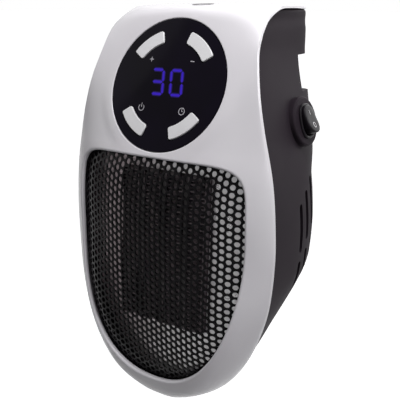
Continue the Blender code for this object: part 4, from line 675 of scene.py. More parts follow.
# Fan, cutout and key switches: moulded in black polypropylene. The fan is pressed on its shaft
# and the switches are soldered. The plastic has a waxy, even surface.
black_poly = new_finish(
    "black_polypropylene", "#18171a", 0.42, tones=("#151417", "#1f1d21"), gloss=(0.36, 0.5), patch=4.0,
    bump=0.1, grain=0.5, ior=1.49,
)
finish_nodes(["fan_impeller", "thermal_cutout"] + [f"tact_switch_{k}" for k in (1, 2, 3, 4)], black_poly)


# Motor can, shaft and screws: drawn and turned steel, plated with zinc. The plating is a pale,
# faintly clouded grey.
plated_steel = new_finish(
    "zinc_plated_steel", "#b9b8ba", 0.3, tones=("#aeadaf", "#c4c3c5"), gloss=(0.24, 0.4), patch=2.5,
    bump=0.15, grain=0.3, metallic=1.0,
)
screw_nodes = [f"{kind}_screw_{k}" for kind in ("high", "low", "board") for k in (1, 2)]
screw_nodes += [f"fan_screw_{k}" for k in (1, 2, 3, 4)]
finish_nodes(["fan_motor", "motor_shaft"] + screw_nodes, plated_steel)


# Terminals: tabs stamped from brass and nickelled, riveted to the heater's ends and the switch.
# They are a warm silver.
nickelled_brass = new_finish(
    "nickelled_brass", "#d2ccbc", 0.24, tones=("#c8c2b1", "#dad4c5"), gloss=(0.18, 0.32), patch=3.0,
    bump=0.08, grain=0.3, metallic=1.0,
)
terminal_nodes = ["heater_terminal_1", "heater_terminal_2", "switch_terminal_1", "switch_terminal_2"]
finish_nodes(terminal_nodes, nickelled_brass)


# Boards: glass-epoxy laminate, cut to shape and screwed down. The green solder resist over it
# gives it a soft gloss.
green_laminate = new_finish(
    "green_epoxy_laminate", "#1e5a38", 0.35, tones=("#1a5232", "#24653f"), gloss=(0.3, 0.42), patch=6.0,
    bump=0.1, grain=0.6, ior=1.55,
)
finish_nodes(["control_board", "power_board"], green_laminate)


# Relay, capacitor and display module: parts in filled plastic cases, soldered to the boards. The
# cases are straight from the mould, with an even half gloss.
blue_case = new_finish(
    "blue_filled_polyester", "#27507f", 0.4, tones=("#234a77", "#2d5989"), gloss=(0.35, 0.5), patch=4.0,
    bump=0.1, grain=0.3, ior=1.55,
)
finish_nodes(["relay"], blue_case)
yellow_case = new_finish(
    "yellow_filled_polyester", "#d3a83a", 0.45, tones=("#cba033", "#dcb246"), gloss=(0.4, 0.52), patch=4.0,
    bump=0.1, grain=0.3, ior=1.55,
)
finish_nodes(["capacitor"], yellow_case)
display_case = new_finish(
    "violet_tinted_resin", "#2b1d5c", 0.3, tones=("#261853", "#332468"), gloss=(0.25, 0.38), patch=5.0,
    ior=1.55,
)
finish_nodes(["led_display"], display_case)


# Leads: stranded copper in red silicone sleeving, crimped and soldered at their ends. The rubber
# looks soft and slightly dusty.
silicone_sleeve = new_finish(
    "red_silicone_sleeve", "#8e2a22", 0.6, tones=("#84251e", "#9a3128"), gloss=(0.5, 0.7), patch=3.0,
    bump=0.2, grain=0.4, ior=1.43,
)
lead_nodes = [f"{use}_lead_{side}" for use in ("heater", "motor") for side in ("left", "right")]
finish_nodes(lead_nodes + ["mains_lead_direct", "mains_lead_switched", "switch_lead"], silicone_sleeve)


# Key lens: a 2 mm disc of dark violet acrylic with a polished face and a small round at the rim.
# It is pressed into its seat in the cover, with four holes for the keys.
lens_place = Matrix.Translation(Vector(lens_centre)) @ Matrix.Rotation(-lens_tilt, 4, "X")
lens_thick, lens_round = 2.0, 0.3
key_outer, key_inner = 23.6, 18.3
key_first, key_last = math.radians(33.5), math.radians(72.3)
key_corner, key_gap = 0.8, 0.3
key_sides = {"key_warmer": (-1, 1), "key_cooler": (1, 1), "key_power": (-1, -1), "key_timer": (1, -1)}


def key_outline(side, grow=0.0, steps=14):
    """A ring sector with small round corners, grown on all sides."""
    turn_share = 0.3
    points = []
    for radius, flip in ((key_outer + grow, 1), (key_inner - grow, -1)):
        low, high = key_first - grow / radius, key_last + grow / radius
        notch = key_corner / radius
        start, middle = radius - flip * key_corner, radius - flip * key_corner * turn_share
        arc = [(start, low), (middle, low + notch * turn_share)]
        arc += [(radius, angle) for angle in np.linspace(low + notch, high - notch, steps)]
        arc += [(middle, high - notch * turn_share), (start, high)]
        points += arc[::flip]
    return [(r * math.cos(a) * side[0], r * math.sin(a) * side[1]) for r, a in points]


def add_plate(maker, outline, holes, front, back):
    """A flat plate with holes, square to the lens, between two depths behind its face."""
    places, faces, _ = fill_plane([outline] + holes)
    top = [maker.verts.new(lens_place @ Vector((x, front, z))) for x, z in places]
    low = [maker.verts.new(lens_place @ Vector((x, back, z))) for x, z in places]
    close_sheet(maker, faces, top, low)


def round_edges(piece, width):
    """Round a piece's sharp edges by a width in millimetres."""
    bevel = piece.modifiers.new("edge_round", "BEVEL")
    bevel.width = width * mm
    bevel.segments = 3
    bevel.limit_method = "ANGLE"
    bevel.angle_limit = math.radians(40.0)


maker = bmesh.new()
key_holes = [key_outline(side, key_gap) for side in key_sides.values()]
add_plate(maker, arc_points(lens_radius, 128), key_holes, 0.0, lens_thick)
lens = add_object("key_lens", maker, "casing", smooth=30.0)
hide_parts("control_panel")
round_edges(lens, lens_round)
# Acrylic, dyed through and coated against glare: very deep violet, smooth, with a weak mirror.
violet_acrylic = new_finish(
    "violet_dyed_acrylic", "#0a0512", 0.06, tones=("#090510", "#0d0717"), gloss=(0.05, 0.09), patch=25.0,
    ior=1.49, glint=0.05,
)
lens.data.materials.append(violet_acrylic)


# Digits: the seven-segment display behind the lens, whose lit bars shine violet-blue through the
# acrylic. They are drawn on its face, and the unlit bars don't show.
digit_height, digit_width, digit_slant = 10.2, 5.5, -0.16
bar_half, bar_gap, bar_rise = 0.5, 0.28, 0.04
halo_half, halo_rise = 0.95, 0.02
bars = {
    "a": ((0, 1), (1, 1)), "b": ((1, 1), (1, 0.5)), "c": ((1, 0.5), (1, 0)), "d": ((0, 0), (1, 0)),
    "e": ((0, 0.5), (0, 0)), "f": ((0, 1), (0, 0.5)), "g": ((0, 0.5), (1, 0.5)),
}
digits = (((-4.8, 1.0), "abcdg"), ((4.7, 1.1), "abcdef"))


def on_lens(x, z, rise):
    """A point just above the lens's face."""
    return lens_place @ Vector((x, -rise, z))


def add_bar(maker, start, end, half, rise):
    """A flat bar with pointed ends, lying on the lens."""
    along = (end - start).normalized()
    side = Vector((-along.y, along.x)) * half
    tip = along * half
    corners = [start, start + tip + side, end - tip + side, end, end - tip - side, start + tip - side]
    maker.faces.new([maker.verts.new(on_lens(p.x, p.y, rise)) for p in corners])


maker, halo = bmesh.new(), bmesh.new()
for (middle_x, middle_z), lit in digits:
    for bar in lit:
        ends = []
        for u, v in bars[bar]:
            z = (v - 0.5) * digit_height
            x = (u - 0.5) * digit_width + z * digit_slant
            ends.append(Vector((x + middle_x, z + middle_z)))
        gap = (ends[1] - ends[0]).normalized() * bar_gap
        add_bar(maker, ends[0] + gap, ends[1] - gap, bar_half, bar_rise)
        add_bar(halo, ends[0], ends[1], halo_half, halo_rise)
lit_digits = add_object("lit_digits", maker, "casing", recalc=False)
# Glow: light that has passed the dyed acrylic, a saturated violet-blue.
violet_glow = new_finish(
    "violet_display_glow", "#120848", 0.5, tones=("#0f0640", "#160a50"), gloss=(0.45, 0.55), patch=1.2,
    glint=0.1, glow="#2e15a6",
)
lit_digits.data.materials.append(violet_glow)
# Halo: the light that the acrylic scatters beside each bar, a much deeper violet.
digit_halo = add_object("digit_halo", halo, "casing", recalc=False)
scattered_light = new_finish(
    "violet_scattered_light", "#0c0713", 0.3, tones=("#0b0711", "#100a19"), gloss=(0.25, 0.35), patch=3.0,
    glint=0.07, glow="#160a52",
)
digit_halo.data.materials.append(scattered_light)


# Legends: plain signs beside the keys, screen-printed on the lens in pale grey ink. They are a
# plus, a minus, a power sign and a clock.
ink_half, ink_rise = 0.16, 0.03
sign_place = 14.6 * math.sqrt(0.5)
sign_half = 1.0
power_radius, power_gap, power_low, power_high = 1.35, math.radians(80), 0.2, 1.9
clock_radius, clock_long_hand, clock_short_hand = 1.4, 0.9, 0.65
clock_hand_share = 0.9


def add_stroke(maker, points, half, closed=False):
    """A printed line of even width through points on the lens."""
    points = [Vector(p) for p in points]
    left, right = [], []
    for i, p in enumerate(points):
        before = points[i - 1] if (i or closed) else p
        after = points[(i + 1) % len(points)] if (i + 1 < len(points) or closed) else p
        along = (after - before).normalized()
        side = Vector((-along.y, along.x)) * half
        left.append(maker.verts.new(on_lens(p.x + side.x, p.y + side.y, ink_rise)))
        right.append(maker.verts.new(on_lens(p.x - side.x, p.y - side.y, ink_rise)))
    for i in range(len(points) if closed else len(points) - 1):
        j = (i + 1) % len(points)
        maker.faces.new((left[i], right[i], right[j], left[j]))


maker = bmesh.new()
x, z = -sign_place, sign_place
add_stroke(maker, [(x - sign_half, z), (x + sign_half, z)], ink_half)
add_stroke(maker, [(x, z - sign_half), (x, z + sign_half)], ink_half)
x, z = sign_place, sign_place
add_stroke(maker, [(x - sign_half, z), (x + sign_half, z)], ink_half)
x, z = -sign_place, -sign_place
power_arc = arc_points(power_radius, 20, x, z, math.pi / 2 + power_gap / 2, math.tau - power_gap)
add_stroke(maker, power_arc, ink_half)
add_stroke(maker, [(x, z + power_low), (x, z + power_high)], ink_half)
x, z = sign_place, -sign_place
add_stroke(maker, arc_points(clock_radius, 20, x, z), ink_half, closed=True)
clock_hands = [(x, z + clock_long_hand), (x, z), (x + clock_short_hand, z)]
add_stroke(maker, clock_hands, ink_half * clock_hand_share)
legends = add_object("key_legends", maker, "casing", recalc=False)
# Screen ink: a thin matt film, a little greyer than the keys.
pale_ink = new_finish(
    "pale_screen_ink", "#b9b6bd", 0.5, tones=("#b0adb4", "#c2bfc6"), gloss=(0.45, 0.55), patch=1.0,
)
legends.data.materials.append(pale_ink)


# Keys: four arc-shaped caps moulded in white ABS, which stand 0.5 mm proud of the lens. A flange
# holds each behind the lens, and a short post presses a switch below.
key_rise, key_round = 0.5, 0.22
flange_front, flange_back, flange_reach = 2.3, 3.3, 0.9
post_radius, post_front, post_back = 1.5, 3.25, 3.8
# Satin ABS: white with a soft sheen, less polished than the cover.
satin_abs = new_finish(
    "satin_white_abs", "#e9e7ea", 0.3, tones=("#e6e4e7", "#ecebee"), gloss=(0.26, 0.34), patch=10.0,
    bump=0.05, grain=1.5, ior=1.54,
)
for name, side in key_sides.items():
    maker = bmesh.new()
    add_plate(maker, key_outline(side), [], -key_rise, flange_front)
    add_plate(maker, key_outline(side, flange_reach), [], flange_front, flange_back)
    angle = (key_first + key_last) / 2
    middle = (key_outer + key_inner) / 2
    x, z = middle * math.cos(angle) * side[0], middle * math.sin(angle) * side[1]
    post = arc_points(post_radius, 24, x, z)
    low = [maker.verts.new(lens_place @ Vector((x, post_front, z))) for x, z in post]
    high = [maker.verts.new(lens_place @ Vector((x, post_back, z))) for x, z in post]
    strip(maker, low, high)
    maker.faces.new(high)
    maker.faces.new(low[::-1])
    cap = add_object(name.replace("key_", "cap_"), maker, name.replace("key_", "") + "_key", smooth=30.0)
    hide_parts(name)
    round_edges(cap, key_round)
    cap.data.materials.append(satin_abs)


# Rear tub: one injection moulding in dark grey ABS, 2 mm thick, from a spark-eroded mould that
# leaves a fine satin texture. It holds the plug's well, grip notches, vents and screw bosses.
tub_wall = 2.0
tub_inset, tub_gap = 1.0, 0.3
tub_top, tub_front = 26.1, -27.0
tub_back_reach = 0.5
back_angle = math.radians(85.0)
corner_width = 35.0

# By height: how square the curve to the back is, and how much the sides draw in there.
tub_shape = np.array((
    (23.3, 28.0, 0.050), (0.0, 28.0, 0.128), (-13.9, 16.3, 0.121), (-40.0, 6.2, 0.085),
    (-60.0, 5.3, 0.045), (-85.0, 4.6, 0.025), (-110.0, 2.8, 0.125), (-145.5, 2.5, 0.138),
))
tub_heights = np.arange(-150.0, 30.0, 1.0)
tub_blur = 9
tub_curves = []
for column in (1, 2):
    line = np.interp(tub_heights, tub_shape[::-1, 0], tub_shape[::-1, column])
    line = np.pad(line, tub_blur // 2, mode="edge")
    tub_curves.append(np.convolve(line, np.ones(tub_blur) / tub_blur, mode="valid"))


def tub_edge(steps):
    """
    The tub's front edge in even steps: straight along the top, round a small bend, and down the
    right side just behind the cover's rim.
    """
    side = []
    for x, forward, z, lip in cover_track[:, (2, 3, 4, 6)]:
        y = -forward + tub_gap / max(lip, 0.5)
        rise = z - cover_centre
        if rise > 0:
            x = x - tub_inset
        else:
            scale = 1 - tub_inset / math.hypot(x, rise)
            x, z = x * scale, cover_centre + rise * scale
        if z < tub_top - 1.5 and y < tub_front - 3:
            side.append((x, y, z))
    x = side[0][0]
    top = [(x * k / 10, tub_front, tub_top) for k in range(9)]
    corner = (
        (x * 0.86, tub_front, tub_top), (x * 0.95, tub_front - 0.3, tub_top - 0.1),
        (x * 0.993, tub_front - 3.4, tub_top - 0.5), side[0],
    )
    corner = [tuple(p) for p in track_of(corner, 5)[:-1]]
    return even_line(top + corner + side, steps)


def tub_rings(maker, inset, steps, count):
    """Rings of one face of the tub from its front edge to its flat back."""
    right = tub_edge(steps)
    rise = right[:, 2] - cover_centre
    scale = 1 - inset / np.hypot(right[:, 0], rise)
    side_inset = inset * np.minimum(1, right[:, 0] / corner_width)
    top_inset = inset * np.abs(rise / (tub_top - cover_centre)) ** 4
    drawn = right.copy()
    drawn[:, 0] = np.where(rise < 0, right[:, 0] * scale, right[:, 0] - side_inset)
    drawn[:, 2] = np.where(rise < 0, cover_centre + rise * scale, right[:, 2] - top_inset)
    x, y, z = np.concatenate([drawn, drawn[-2:0:-1] * (-1, 1, 1)]).T
    square = np.interp(z, tub_heights, tub_curves[0])
    draw = np.interp(z, tub_heights, tub_curves[1])
    rings = []
    for step in range(count + 1):
        angle = back_angle * (step / count) ** 2
        back = math.sin(angle) ** (2 / square)
        scale = math.cos(angle) ** (2 / square)
        narrow = scale * (1 - draw * back)
        fall = np.where(z > cover_centre, scale, narrow)
        depth = np.minimum(-inset, y + (tub_back_reach - inset - y) * back)
        ring = np.stack([x * narrow, depth, cover_centre + (z - cover_centre) * fall], axis=1)
        rings.append([maker.verts.new(p) for p in ring])
    return rings


def skin_rings(maker, rings):
    """Faces between rings, closed by a face at each end."""
    for near, far in zip(rings, rings[1:]):
        strip(maker, near, far)
    maker.faces.new(rings[0])
    maker.faces.new(rings[-1])


def turned(maker, profile, steps, place=Matrix.Identity(4)):
    """A closed shape turned about the Y axis of a place, from (radius, y) pairs."""
    loops = []
    for radius, y in profile:
        circle = arc_points(radius, steps) if radius else [(0, 0)]
        loops.append([maker.verts.new(place @ Vector((x, y, z))) for x, z in circle])
    for a, b in zip(loops, loops[1:]):
        for k in range(steps):
            j = (k + 1) % steps
            corners = dict.fromkeys((a[k % len(a)], a[j % len(a)], b[j % len(b)], b[k % len(b)]))
            if len(corners) > 2:
                maker.faces.new(list(corners))


def add_slot(maker, width, top, bottom, near, far, place):
    """A cutter for an upright slot with round ends."""
    radius = width / 2
    ends = arc_points(radius, 12, 0.0, top - radius, 0.0, math.pi)
    ends += arc_points(radius, 12, 0.0, bottom + radius, math.pi, math.pi)
    rings = [[maker.verts.new(place @ Vector((x, y, z))) for x, z in ends] for y in (near, far)]
    skin_rings(maker, rings)


def combine(piece, maker, operation):
    """Join, cut or keep the overlap of a piece and mesh code, exactly, and shade it anew."""
    cutter = add_object("cutter", maker, None)
    change = piece.modifiers.new("change", "BOOLEAN")
    change.operation = operation
    change.solver = "EXACT"
    change.object = cutter
    graph = bpy.context.evaluated_depsgraph_get()
    mesh = bpy.data.meshes.new_from_object(piece.evaluated_get(graph))
    piece.modifiers.clear()
    piece.data = mesh
    bpy.data.objects.remove(cutter)
    mesh.shade_smooth()
    mesh.set_sharp_from_angle(angle=math.radians(30.0))


def rounded_end(half_x, half_z, steps=48, fullness=0.8):
    """A long outline with full round ends, as snap-in rockers have."""
    points = []
    for x, z in arc_points(1.0, steps):
        full_x, full_z = math.copysign(abs(x) ** fullness, x), math.copysign(abs(z) ** fullness, z)
        points.append((half_x * full_x, half_z * full_z))
    return points


# What reaches through the tub's back or side runs this far past it.
overrun = 2.0
maker = bmesh.new()
outside = tub_rings(maker, inset=0.0, steps=120, count=34)
within = tub_rings(maker, inset=tub_wall, steps=120, count=12)
skin_rings(maker, outside[::-1] + within)
tub = add_object("rear_tub", maker, None, smooth=30.0)

# Inside: the well's wall, the notches' walls and the screw bosses, trimmed to the tub's shape.
# Each screw place has its X and Z, and each pair how deep the halves meet, where the boss
# widens, and where the screw head sits.
well_wall_radius, well_wall_depth = 21.5, 6.0
notch_inner, notch_outer, notch_depth = 26.0, 52.0, 11.2
notch_low, notch_high = -8.6, 7.0
notch_wall, notch_floor, notch_wall_outer = 2.0, 2.2, 37.0
boss_radius, collar_radius, thread_radius, head_radius = 2.8, 4.2, 1.8, 2.9
high_screws = (((-27.0, 16.5), (27.0, 16.5)), -24.0, -8.0, -4.0)
low_screws = (((-7.0, -135.2), (7.0, -135.2)), -46.0, -42.0, -38.0)
maker = bmesh.new()
well_wall = (
    (0, -well_wall_depth), (well_wall_radius, -well_wall_depth), (well_wall_radius, overrun), (0, overrun),
)
turned(maker, well_wall, steps=64)
for side in (-1, 1):
    near, far = sorted((side * (notch_inner - notch_wall), side * notch_wall_outer))
    low = (near, -notch_depth - notch_floor, notch_low - notch_wall)
    add_block(maker, low, (far, overrun, notch_high + notch_wall))
for places, meet, collar, _ in (high_screws, low_screws):
    boss = (
        (0, meet), (boss_radius, meet), (boss_radius, collar), (collar_radius, collar),
        (collar_radius, overrun), (0, overrun),
    )
    for x, z in places:
        turned(maker, boss, steps=32, place=Matrix.Translation(Vector((x, 0.0, z))))
fillings = add_object("fillings", maker, None)
trim = bmesh.new()
skin_rings(trim, tub_rings(trim, inset=tub_wall / 2, steps=60, count=16))
combine(fillings, trim, "INTERSECT")
maker = bmesh.new()
maker.from_mesh(fillings.data)
bmesh.ops.scale(maker, vec=(1 / mm, 1 / mm, 1 / mm), verts=maker.verts)
bpy.data.objects.remove(fillings)
combine(tub, maker, "UNION")

# The round pad for the side switch, which leans outwards at its low end, and the ledge that the
# hood rests on.
switch_at, switch_lean = Vector((45.5, -20.5, -19.5)), math.radians(14.0)
switch_seat = Matrix.Translation(switch_at) @ Matrix.Rotation(-math.pi / 2, 4, "Z")
switch_seat = switch_seat @ Matrix.Rotation(switch_lean, 4, "X")
pad_radius, pad_deep, pad_face, pad_round, pad_start = 10.6, -8.4, -0.5, 0.8, 0.3
ledge_low, ledge_high = (-29.4, -25.6, 24.8), (29.4, -3.4, 26.8)
pad = [(0, pad_deep), (pad_radius, pad_deep), (pad_radius, pad_face - pad_round)]
pad += arc_points(
    pad_round, 4, pad_radius - pad_round, pad_face - pad_round, pad_start, math.pi / 2 - pad_start
)
maker = bmesh.new()
turned(maker, pad + [(0, pad_face)], steps=64, place=switch_seat)
combine(tub, maker, "UNION")
maker = bmesh.new()
add_block(maker, ledge_low, ledge_high)
combine(tub, maker, "UNION")

# Cuts: the plug's well, the grip notches, the switch's window, the screw holes and the vents.
well_radius, well_depth = 19.3, 3.5
socket_radius, socket_depth = 14.3, 7.9
well_bevel, bevel_back, bevel_front = 0.4, 0.4, 0.1
window_half_x, window_half_z, window_depth = 5.3, 6.9, 11.0
slot_width, bridge_half = 3.0, 2.1
side_slot_from, side_slot_to, slot_reach = 30.4, 80.0, 8.0
well = (
    (0, -socket_depth), (socket_radius, -socket_depth), (socket_radius, -well_depth),
    (well_radius, -well_depth), (well_radius, -bevel_back), (well_radius + well_bevel, bevel_front),
    (well_radius + well_bevel, overrun), (0, overrun),
)
cuts = bmesh.new()
turned(cuts, well, steps=96)
for side in (-1, 1):
    near, far = sorted((side * notch_inner, side * notch_outer))
    add_block(cuts, (near, -notch_depth, notch_low), (far, overrun, notch_high))
window = rounded_end(window_half_x, window_half_z)
skin_rings(cuts, [
    [cuts.verts.new(switch_seat @ Vector((x, y, z))) for x, z in window] for y in (-window_depth, overrun)
])
for places, meet, _, seat in (high_screws, low_screws):
    hole = (
        (0, meet - overrun), (thread_radius, meet - overrun), (thread_radius, seat), (head_radius, seat),
        (head_radius, overrun), (0, overrun),
    )
    for x, z in places:
        turned(cuts, hole, steps=28, place=Matrix.Translation(Vector((x, 0.0, z))))


def add_slot_pair(top, bridge, bottom, near, far, place):
    """An upright vent in two parts, with a bridge left between them."""
    add_slot(cuts, slot_width, top, bridge + bridge_half, near, far, place)
    add_slot(cuts, slot_width, bridge - bridge_half, bottom, near, far, place)


# Rows by depth on the sides, two on each rounded corner by X and depth, and nine on the back,
# each with the heights of its top, its bridge and its foot.
side_slots = (
    (-30.5, -53.4, -77.2, -99.1), (-23.5, -48.9, -73.0, -92.5), (-16.5, -44.2, -68.2, -85.5),
)
corner_slots = ((44.4, -9.3, -40.7, -64.9, -82.9), (39.1, -4.4, -38.4, -62.6, -82.9))
back_slot_count, back_slot_pitch = 9, 6.9
back_slot = (-36.4, -60.5, -82.9)
for depth, top, bridge, bottom in side_slots:
    for side in (-1, 1):
        place = Matrix.Translation(Vector((0.0, depth, 0.0))) @ Matrix.Rotation(-side * math.pi / 2, 4, "Z")
        add_slot_pair(top, bridge, bottom, side_slot_from, side_slot_to, place)
for across, depth, top, bridge, bottom in corner_slots:
    for side in (-1, 1):
        place = Matrix.Translation(Vector((side * across, depth, 0.0)))
        place = place @ Matrix.Rotation(-side * math.pi / 4, 4, "Z")
        add_slot_pair(top, bridge, bottom, -slot_reach, slot_reach, place)
for k in range(back_slot_count):
    place = Matrix.Translation(Vector(((k - back_slot_count // 2) * back_slot_pitch, 0.0, 0.0)))
    add_slot_pair(*back_slot, -slot_reach, overrun, place)
combine(tub, cuts, "DIFFERENCE")
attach(tub, "casing")
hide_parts("rear_housing")
# Spark-eroded ABS: near black with a warm cast, its gloss broken by a fine even grain. The real
# grain is about 0.1 mm, and it is drawn at 0.35 mm so that it shows.
eroded_abs = new_finish(
    "spark_eroded_grey_abs", "#231d23", 0.6, tones=("#211b21", "#262026"), gloss=(0.56, 0.66), patch=20.0,
    bump=0.12, grain=0.35, ior=1.54, glint=0.05,
)
tub.data.materials.clear()
tub.data.materials.append(eroded_abs)


# Side switch: a snap-in rocker in black polycarbonate with a bezel, glossy, with the usual two
# marks printed in white. The rocker tips about a pin across the bezel.

# Glossy polycarbonate: black with a clear, slightly soft reflection along its edges.
gloss_poly = new_finish(
    "gloss_black_polycarbonate", "#141115", 0.38, tones=("#120f13", "#18151a"), gloss=(0.34, 0.44), patch=6.0,
    bump=0.03, grain=0.5, ior=1.58, glint=0.08,
)

# The bezel from its inside round its rim to its foot: half width, half height, and how far out.
bezel_rings = (
    (4.9, 6.5, -6.0), (4.9, 6.5, 0.3), (5.0, 6.6, 0.45), (5.5, 7.1, 0.5), (5.8, 7.4, 0.35),
    (5.9, 7.5, 0.1), (5.9, 7.5, -0.45), (5.2, 6.8, -0.45), (5.2, 6.8, -12.4),
)
maker = bmesh.new()
rings = []
for half_x, half_z, out in bezel_rings:
    outline = rounded_end(half_x, half_z)
    rings.append([maker.verts.new(switch_seat @ Vector((x, out, z))) for x, z in outline])
skin_rings(maker, rings)
bezel = add_object("switch_bezel", maker, "casing", smooth=50.0)
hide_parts("switch_body")
bezel.data.materials.append(gloss_poly)

rocker_half_x, rocker_half_z = 4.65, 6.2
rocker_face, valley_rise, valley_width = 2.5, 0.08, 1.5
rocker_tilt = math.radians(14.0)
rocker_seat = switch_seat @ Matrix.Rotation(rocker_tilt, 4, "X")
# Its outlines from its foot to the middle of its face: the share of its size and how far down.
rocker_rings = (
    (0.7, 6.1), (0.93, 4.0), (1.0, 1.2), (1.0, 0.55), (0.985, 0.25), (0.95, 0.07), (0.9, 0.0), (0.6, 0.0),
    (0.3, 0.0),
)


def on_rocker(x, z, rise):
    """A point over the rocker's face: two flat halves that meet in a shallow valley."""
    face = rocker_face + valley_rise * (math.hypot(z, valley_width) - valley_width)
    return rocker_seat @ Vector((x, face + rise, z))


maker = bmesh.new()
rings = []
for share, drop in rocker_rings:
    outline = rounded_end(rocker_half_x * share, rocker_half_z * share)
    rings.append([maker.verts.new(on_rocker(x, z, -drop)) for x, z in outline])
skin_rings(maker, rings)
rocker = add_object("rocker", maker, "rocker", smooth=35.0)
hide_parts("switch_rocker")
rocker.data.materials.append(gloss_poly)

# Marks: a bar and a ring in white pad-printed ink, one on each half of the rocker.
mark_rise, mark_place = 0.04, 2.8
line_half, line_half_height = 0.16, 1.0
ring_inner, ring_outer, ring_stretch = 0.75, 1.05, 0.2
maker = bmesh.new()
low, high = mark_place - line_half_height, mark_place + line_half_height
corners = ((-line_half, low), (line_half, low), (line_half, high), (-line_half, high))
maker.faces.new([maker.verts.new(on_rocker(x, z, mark_rise)) for x, z in corners])
mark_rings = []
for radius in (ring_inner, ring_outer):
    tall = (radius + ring_stretch) / radius
    circle = [(x, z * tall - mark_place) for x, z in arc_points(radius, 28)]
    mark_rings.append([maker.verts.new(on_rocker(x, z, mark_rise)) for x, z in circle])
strip(maker, *mark_rings)
marks = add_object("rocker_marks", maker, "rocker", recalc=False)
# Pad ink: a soft white film without gloss.
white_ink = new_finish(
    "white_pad_ink", "#d8d6da", 0.5, tones=("#d0ced2", "#e0dee2"), gloss=(0.45, 0.55), patch=0.8,
)
marks.data.materials.append(white_ink)


# Plug: a turning disc moulded in the tub's dark ABS, held by a ring behind it. Two round pins of
# nickelled brass are pressed through it.
disc_radius, disc_round, bevel = 19.0, 0.5, 0.3
hub_radius, hub_depth, step_depth = 14.0, 8.5, 3.2
groove_outer, groove_inner, groove_depth = 15.6, 14.6, 0.35
pin_place, pin_radius, bore_radius = 9.5, 2.4, 2.7
pin_root, pin_length, pin_nose, pin_bevel = 12.0, 19.0, 1.8, 0.2
disc_profile = [(0, -hub_depth), (hub_radius, -hub_depth), (hub_radius, -step_depth)]
disc_profile += [(disc_radius - bevel, -step_depth), (disc_radius, bevel - step_depth)]
disc_profile.append((disc_radius, -disc_round))
disc_profile += arc_points(disc_round, 4, disc_radius - disc_round, -disc_round, 0.4, math.pi / 2 - 0.4)
disc_profile += [(groove_outer, 0.0), (groove_outer - bevel, -groove_depth)]
disc_profile += [(groove_inner + bevel, -groove_depth), (groove_inner, 0.0), (0, 0.0)]
maker = bmesh.new()
turned(maker, disc_profile, steps=96)
disc = add_object("plug_face", maker, None, smooth=30.0)
bores = bmesh.new()
bore = ((0, -hub_depth - 1), (bore_radius, -hub_depth - 1), (bore_radius, overrun), (0, overrun))
for side in (-1, 1):
    turned(bores, bore, steps=40, place=Matrix.Translation(Vector((side * pin_place, 0, 0))))
combine(disc, bores, "DIFFERENCE")
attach(disc, "plug")
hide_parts("plug_disc")
disc.data.materials.clear()
disc.data.materials.append(eroded_abs)
# Nickel over brass: a warm mirror, faintly clouded by use in sockets.
worn_nickel = new_finish(
    "worn_nickel_plate", "#d5d0c4", 0.16, tones=("#cdc8bb", "#dcd8cd"), gloss=(0.12, 0.24), patch=3.0,
    bump=0.1, grain=0.25, metallic=1.0,
)
pin_profile = [(0, -pin_root), (pin_radius - pin_bevel, -pin_root), (pin_radius, pin_bevel - pin_root)]
for angle in np.linspace(0, math.pi / 2 - 0.15, 9):
    reach = pin_length - pin_nose + pin_nose * math.sin(angle)
    pin_profile.append((pin_radius * math.cos(angle) ** 0.7, reach))
pin_profile.append((0, pin_length))
for name, side in (("plug_pin_left", -1), ("plug_pin_right", 1)):
    maker = bmesh.new()
    turned(maker, pin_profile, steps=48, place=Matrix.Translation(Vector((side * pin_place, 0, 0))))
    pin = add_object(name.replace("plug_", "round_"), maker, "plug", smooth=40.0)
    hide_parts(name)
    pin.data.materials.append(worn_nickel)


# Studio: a pale floor well below the socket's height and a white world. One soft panel hangs
# close above the hood, and broad lamps on the right, left and back fill in the sides. Lamps and
# camera are placed in metres.
def place_lamp(name, kind, at, aim, size, strength):
    """A soft lamp: a square panel (size in metres) or distant light (size in degrees)."""
    data = bpy.data.lights.new(name, kind)
    data.energy = strength
    if kind == "SUN":
        data.angle = math.radians(size)
    else:
        data.shape = "SQUARE"
        data.size = size
    lamp = bpy.data.objects.new(name, data)
    bpy.context.scene.collection.objects.link(lamp)
    lamp.location = at
    lamp.rotation_mode = "QUATERNION"
    lamp.rotation_quaternion = (Vector(at) - Vector(aim)).to_track_quat("Z", "Y")


place_lamp("key_light", "AREA", (0.12, -0.10, 0.26), (0.0, -0.03, 0.0), size=0.15, strength=0.82)
place_lamp("right_light", "SUN", (1.0, -0.3, 0.45), (0.0, 0.0, 0.0), size=50, strength=1.1)
place_lamp("left_light", "SUN", (-1.0, -0.3, 0.6), (0.0, 0.0, 0.0), size=50, strength=0.42)
place_lamp("back_light", "SUN", (0.1, 1.0, 0.3), (0.0, 0.0, 0.0), size=50, strength=1.2)


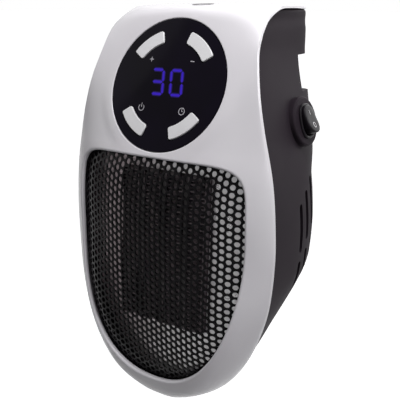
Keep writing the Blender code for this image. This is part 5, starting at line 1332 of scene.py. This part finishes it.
def by_ray(owner, hidden, seen):
    """One value where a ray comes from the camera or off metal and glass, another elsewhere."""
    rays = add_node(owner, "LightPath").outputs
    share = rays["Is Camera Ray"]
    for name in ("Is Glossy Ray", "Is Transmission Ray"):
        share = add_node(owner, "Math", {0: share, 1: rays[name]}, operation="MAXIMUM").outputs[0]
    return add_node(owner, "MapRange", {"Value": share}, To_Min=hidden, To_Max=seen).outputs["Result"]


floor_half, floor_height, floor_glow = 20000.0, -270.0, 0.72
maker = bmesh.new()
corners = ((-1, -1), (1, -1), (1, 1), (-1, 1))
maker.faces.new([maker.verts.new((x * floor_half, y * floor_half, floor_height)) for x, y in corners])
floor = add_object("studio_floor", maker, None)
# Matt paint: seen as white, but dimmer in the light that it throws back on the heater.
white_floor = new_finish("matt_white_floor", "#f4f4f5", 0.9)
seen = by_ray(white_floor, 0.0, 1.0)
tone = add_node(white_floor, "MixRGB", {"Fac": seen}, Color1=colour("#58585a"), Color2=colour("#f4f4f5"))
floor_shader = white_floor.node_tree.nodes["Principled BSDF"].inputs
floor_shader["Emission Color"].default_value = (1, 1, 1, 1)
white_floor.node_tree.links.new(tone.outputs[0], floor_shader["Base Color"])
white_floor.node_tree.links.new(by_ray(white_floor, 0.0, floor_glow), floor_shader["Emission Strength"])
floor.data.materials.append(white_floor)

world_fill, world_seen = 0.02, 1.0
world = bpy.data.worlds.new("studio_world")
bpy.context.scene.world = world
world.use_nodes = True
background = world.node_tree.nodes["Background"].inputs
background["Color"].default_value = (1, 1, 1, 1)
world.node_tree.links.new(by_ray(world, world_fill, world_seen), background["Strength"])
bpy.context.scene.view_settings.view_transform = "Standard"

# Camera: a short telephoto at the heater's front right, a little above its middle.
camera_at, camera_way = Vector((0.1668, -0.2785, 0.0286)), Vector((-0.5412, 0.7918, -0.2832))
camera_data = bpy.data.cameras.new("camera")
camera_data.lens = 60.15
camera_data.sensor_width = 36.0
camera_data.clip_start = 0.01
camera = bpy.data.objects.new("camera", camera_data)
bpy.context.scene.collection.objects.link(camera)
forward = camera_way.normalized()
right = Vector((forward.y, -forward.x, 0.0)).normalized()
up = right.cross(forward)
camera.matrix_world = Matrix.Translation(camera_at) @ Matrix((right, up, -forward)).transposed().to_4x4()
bpy.context.scene.camera = camera
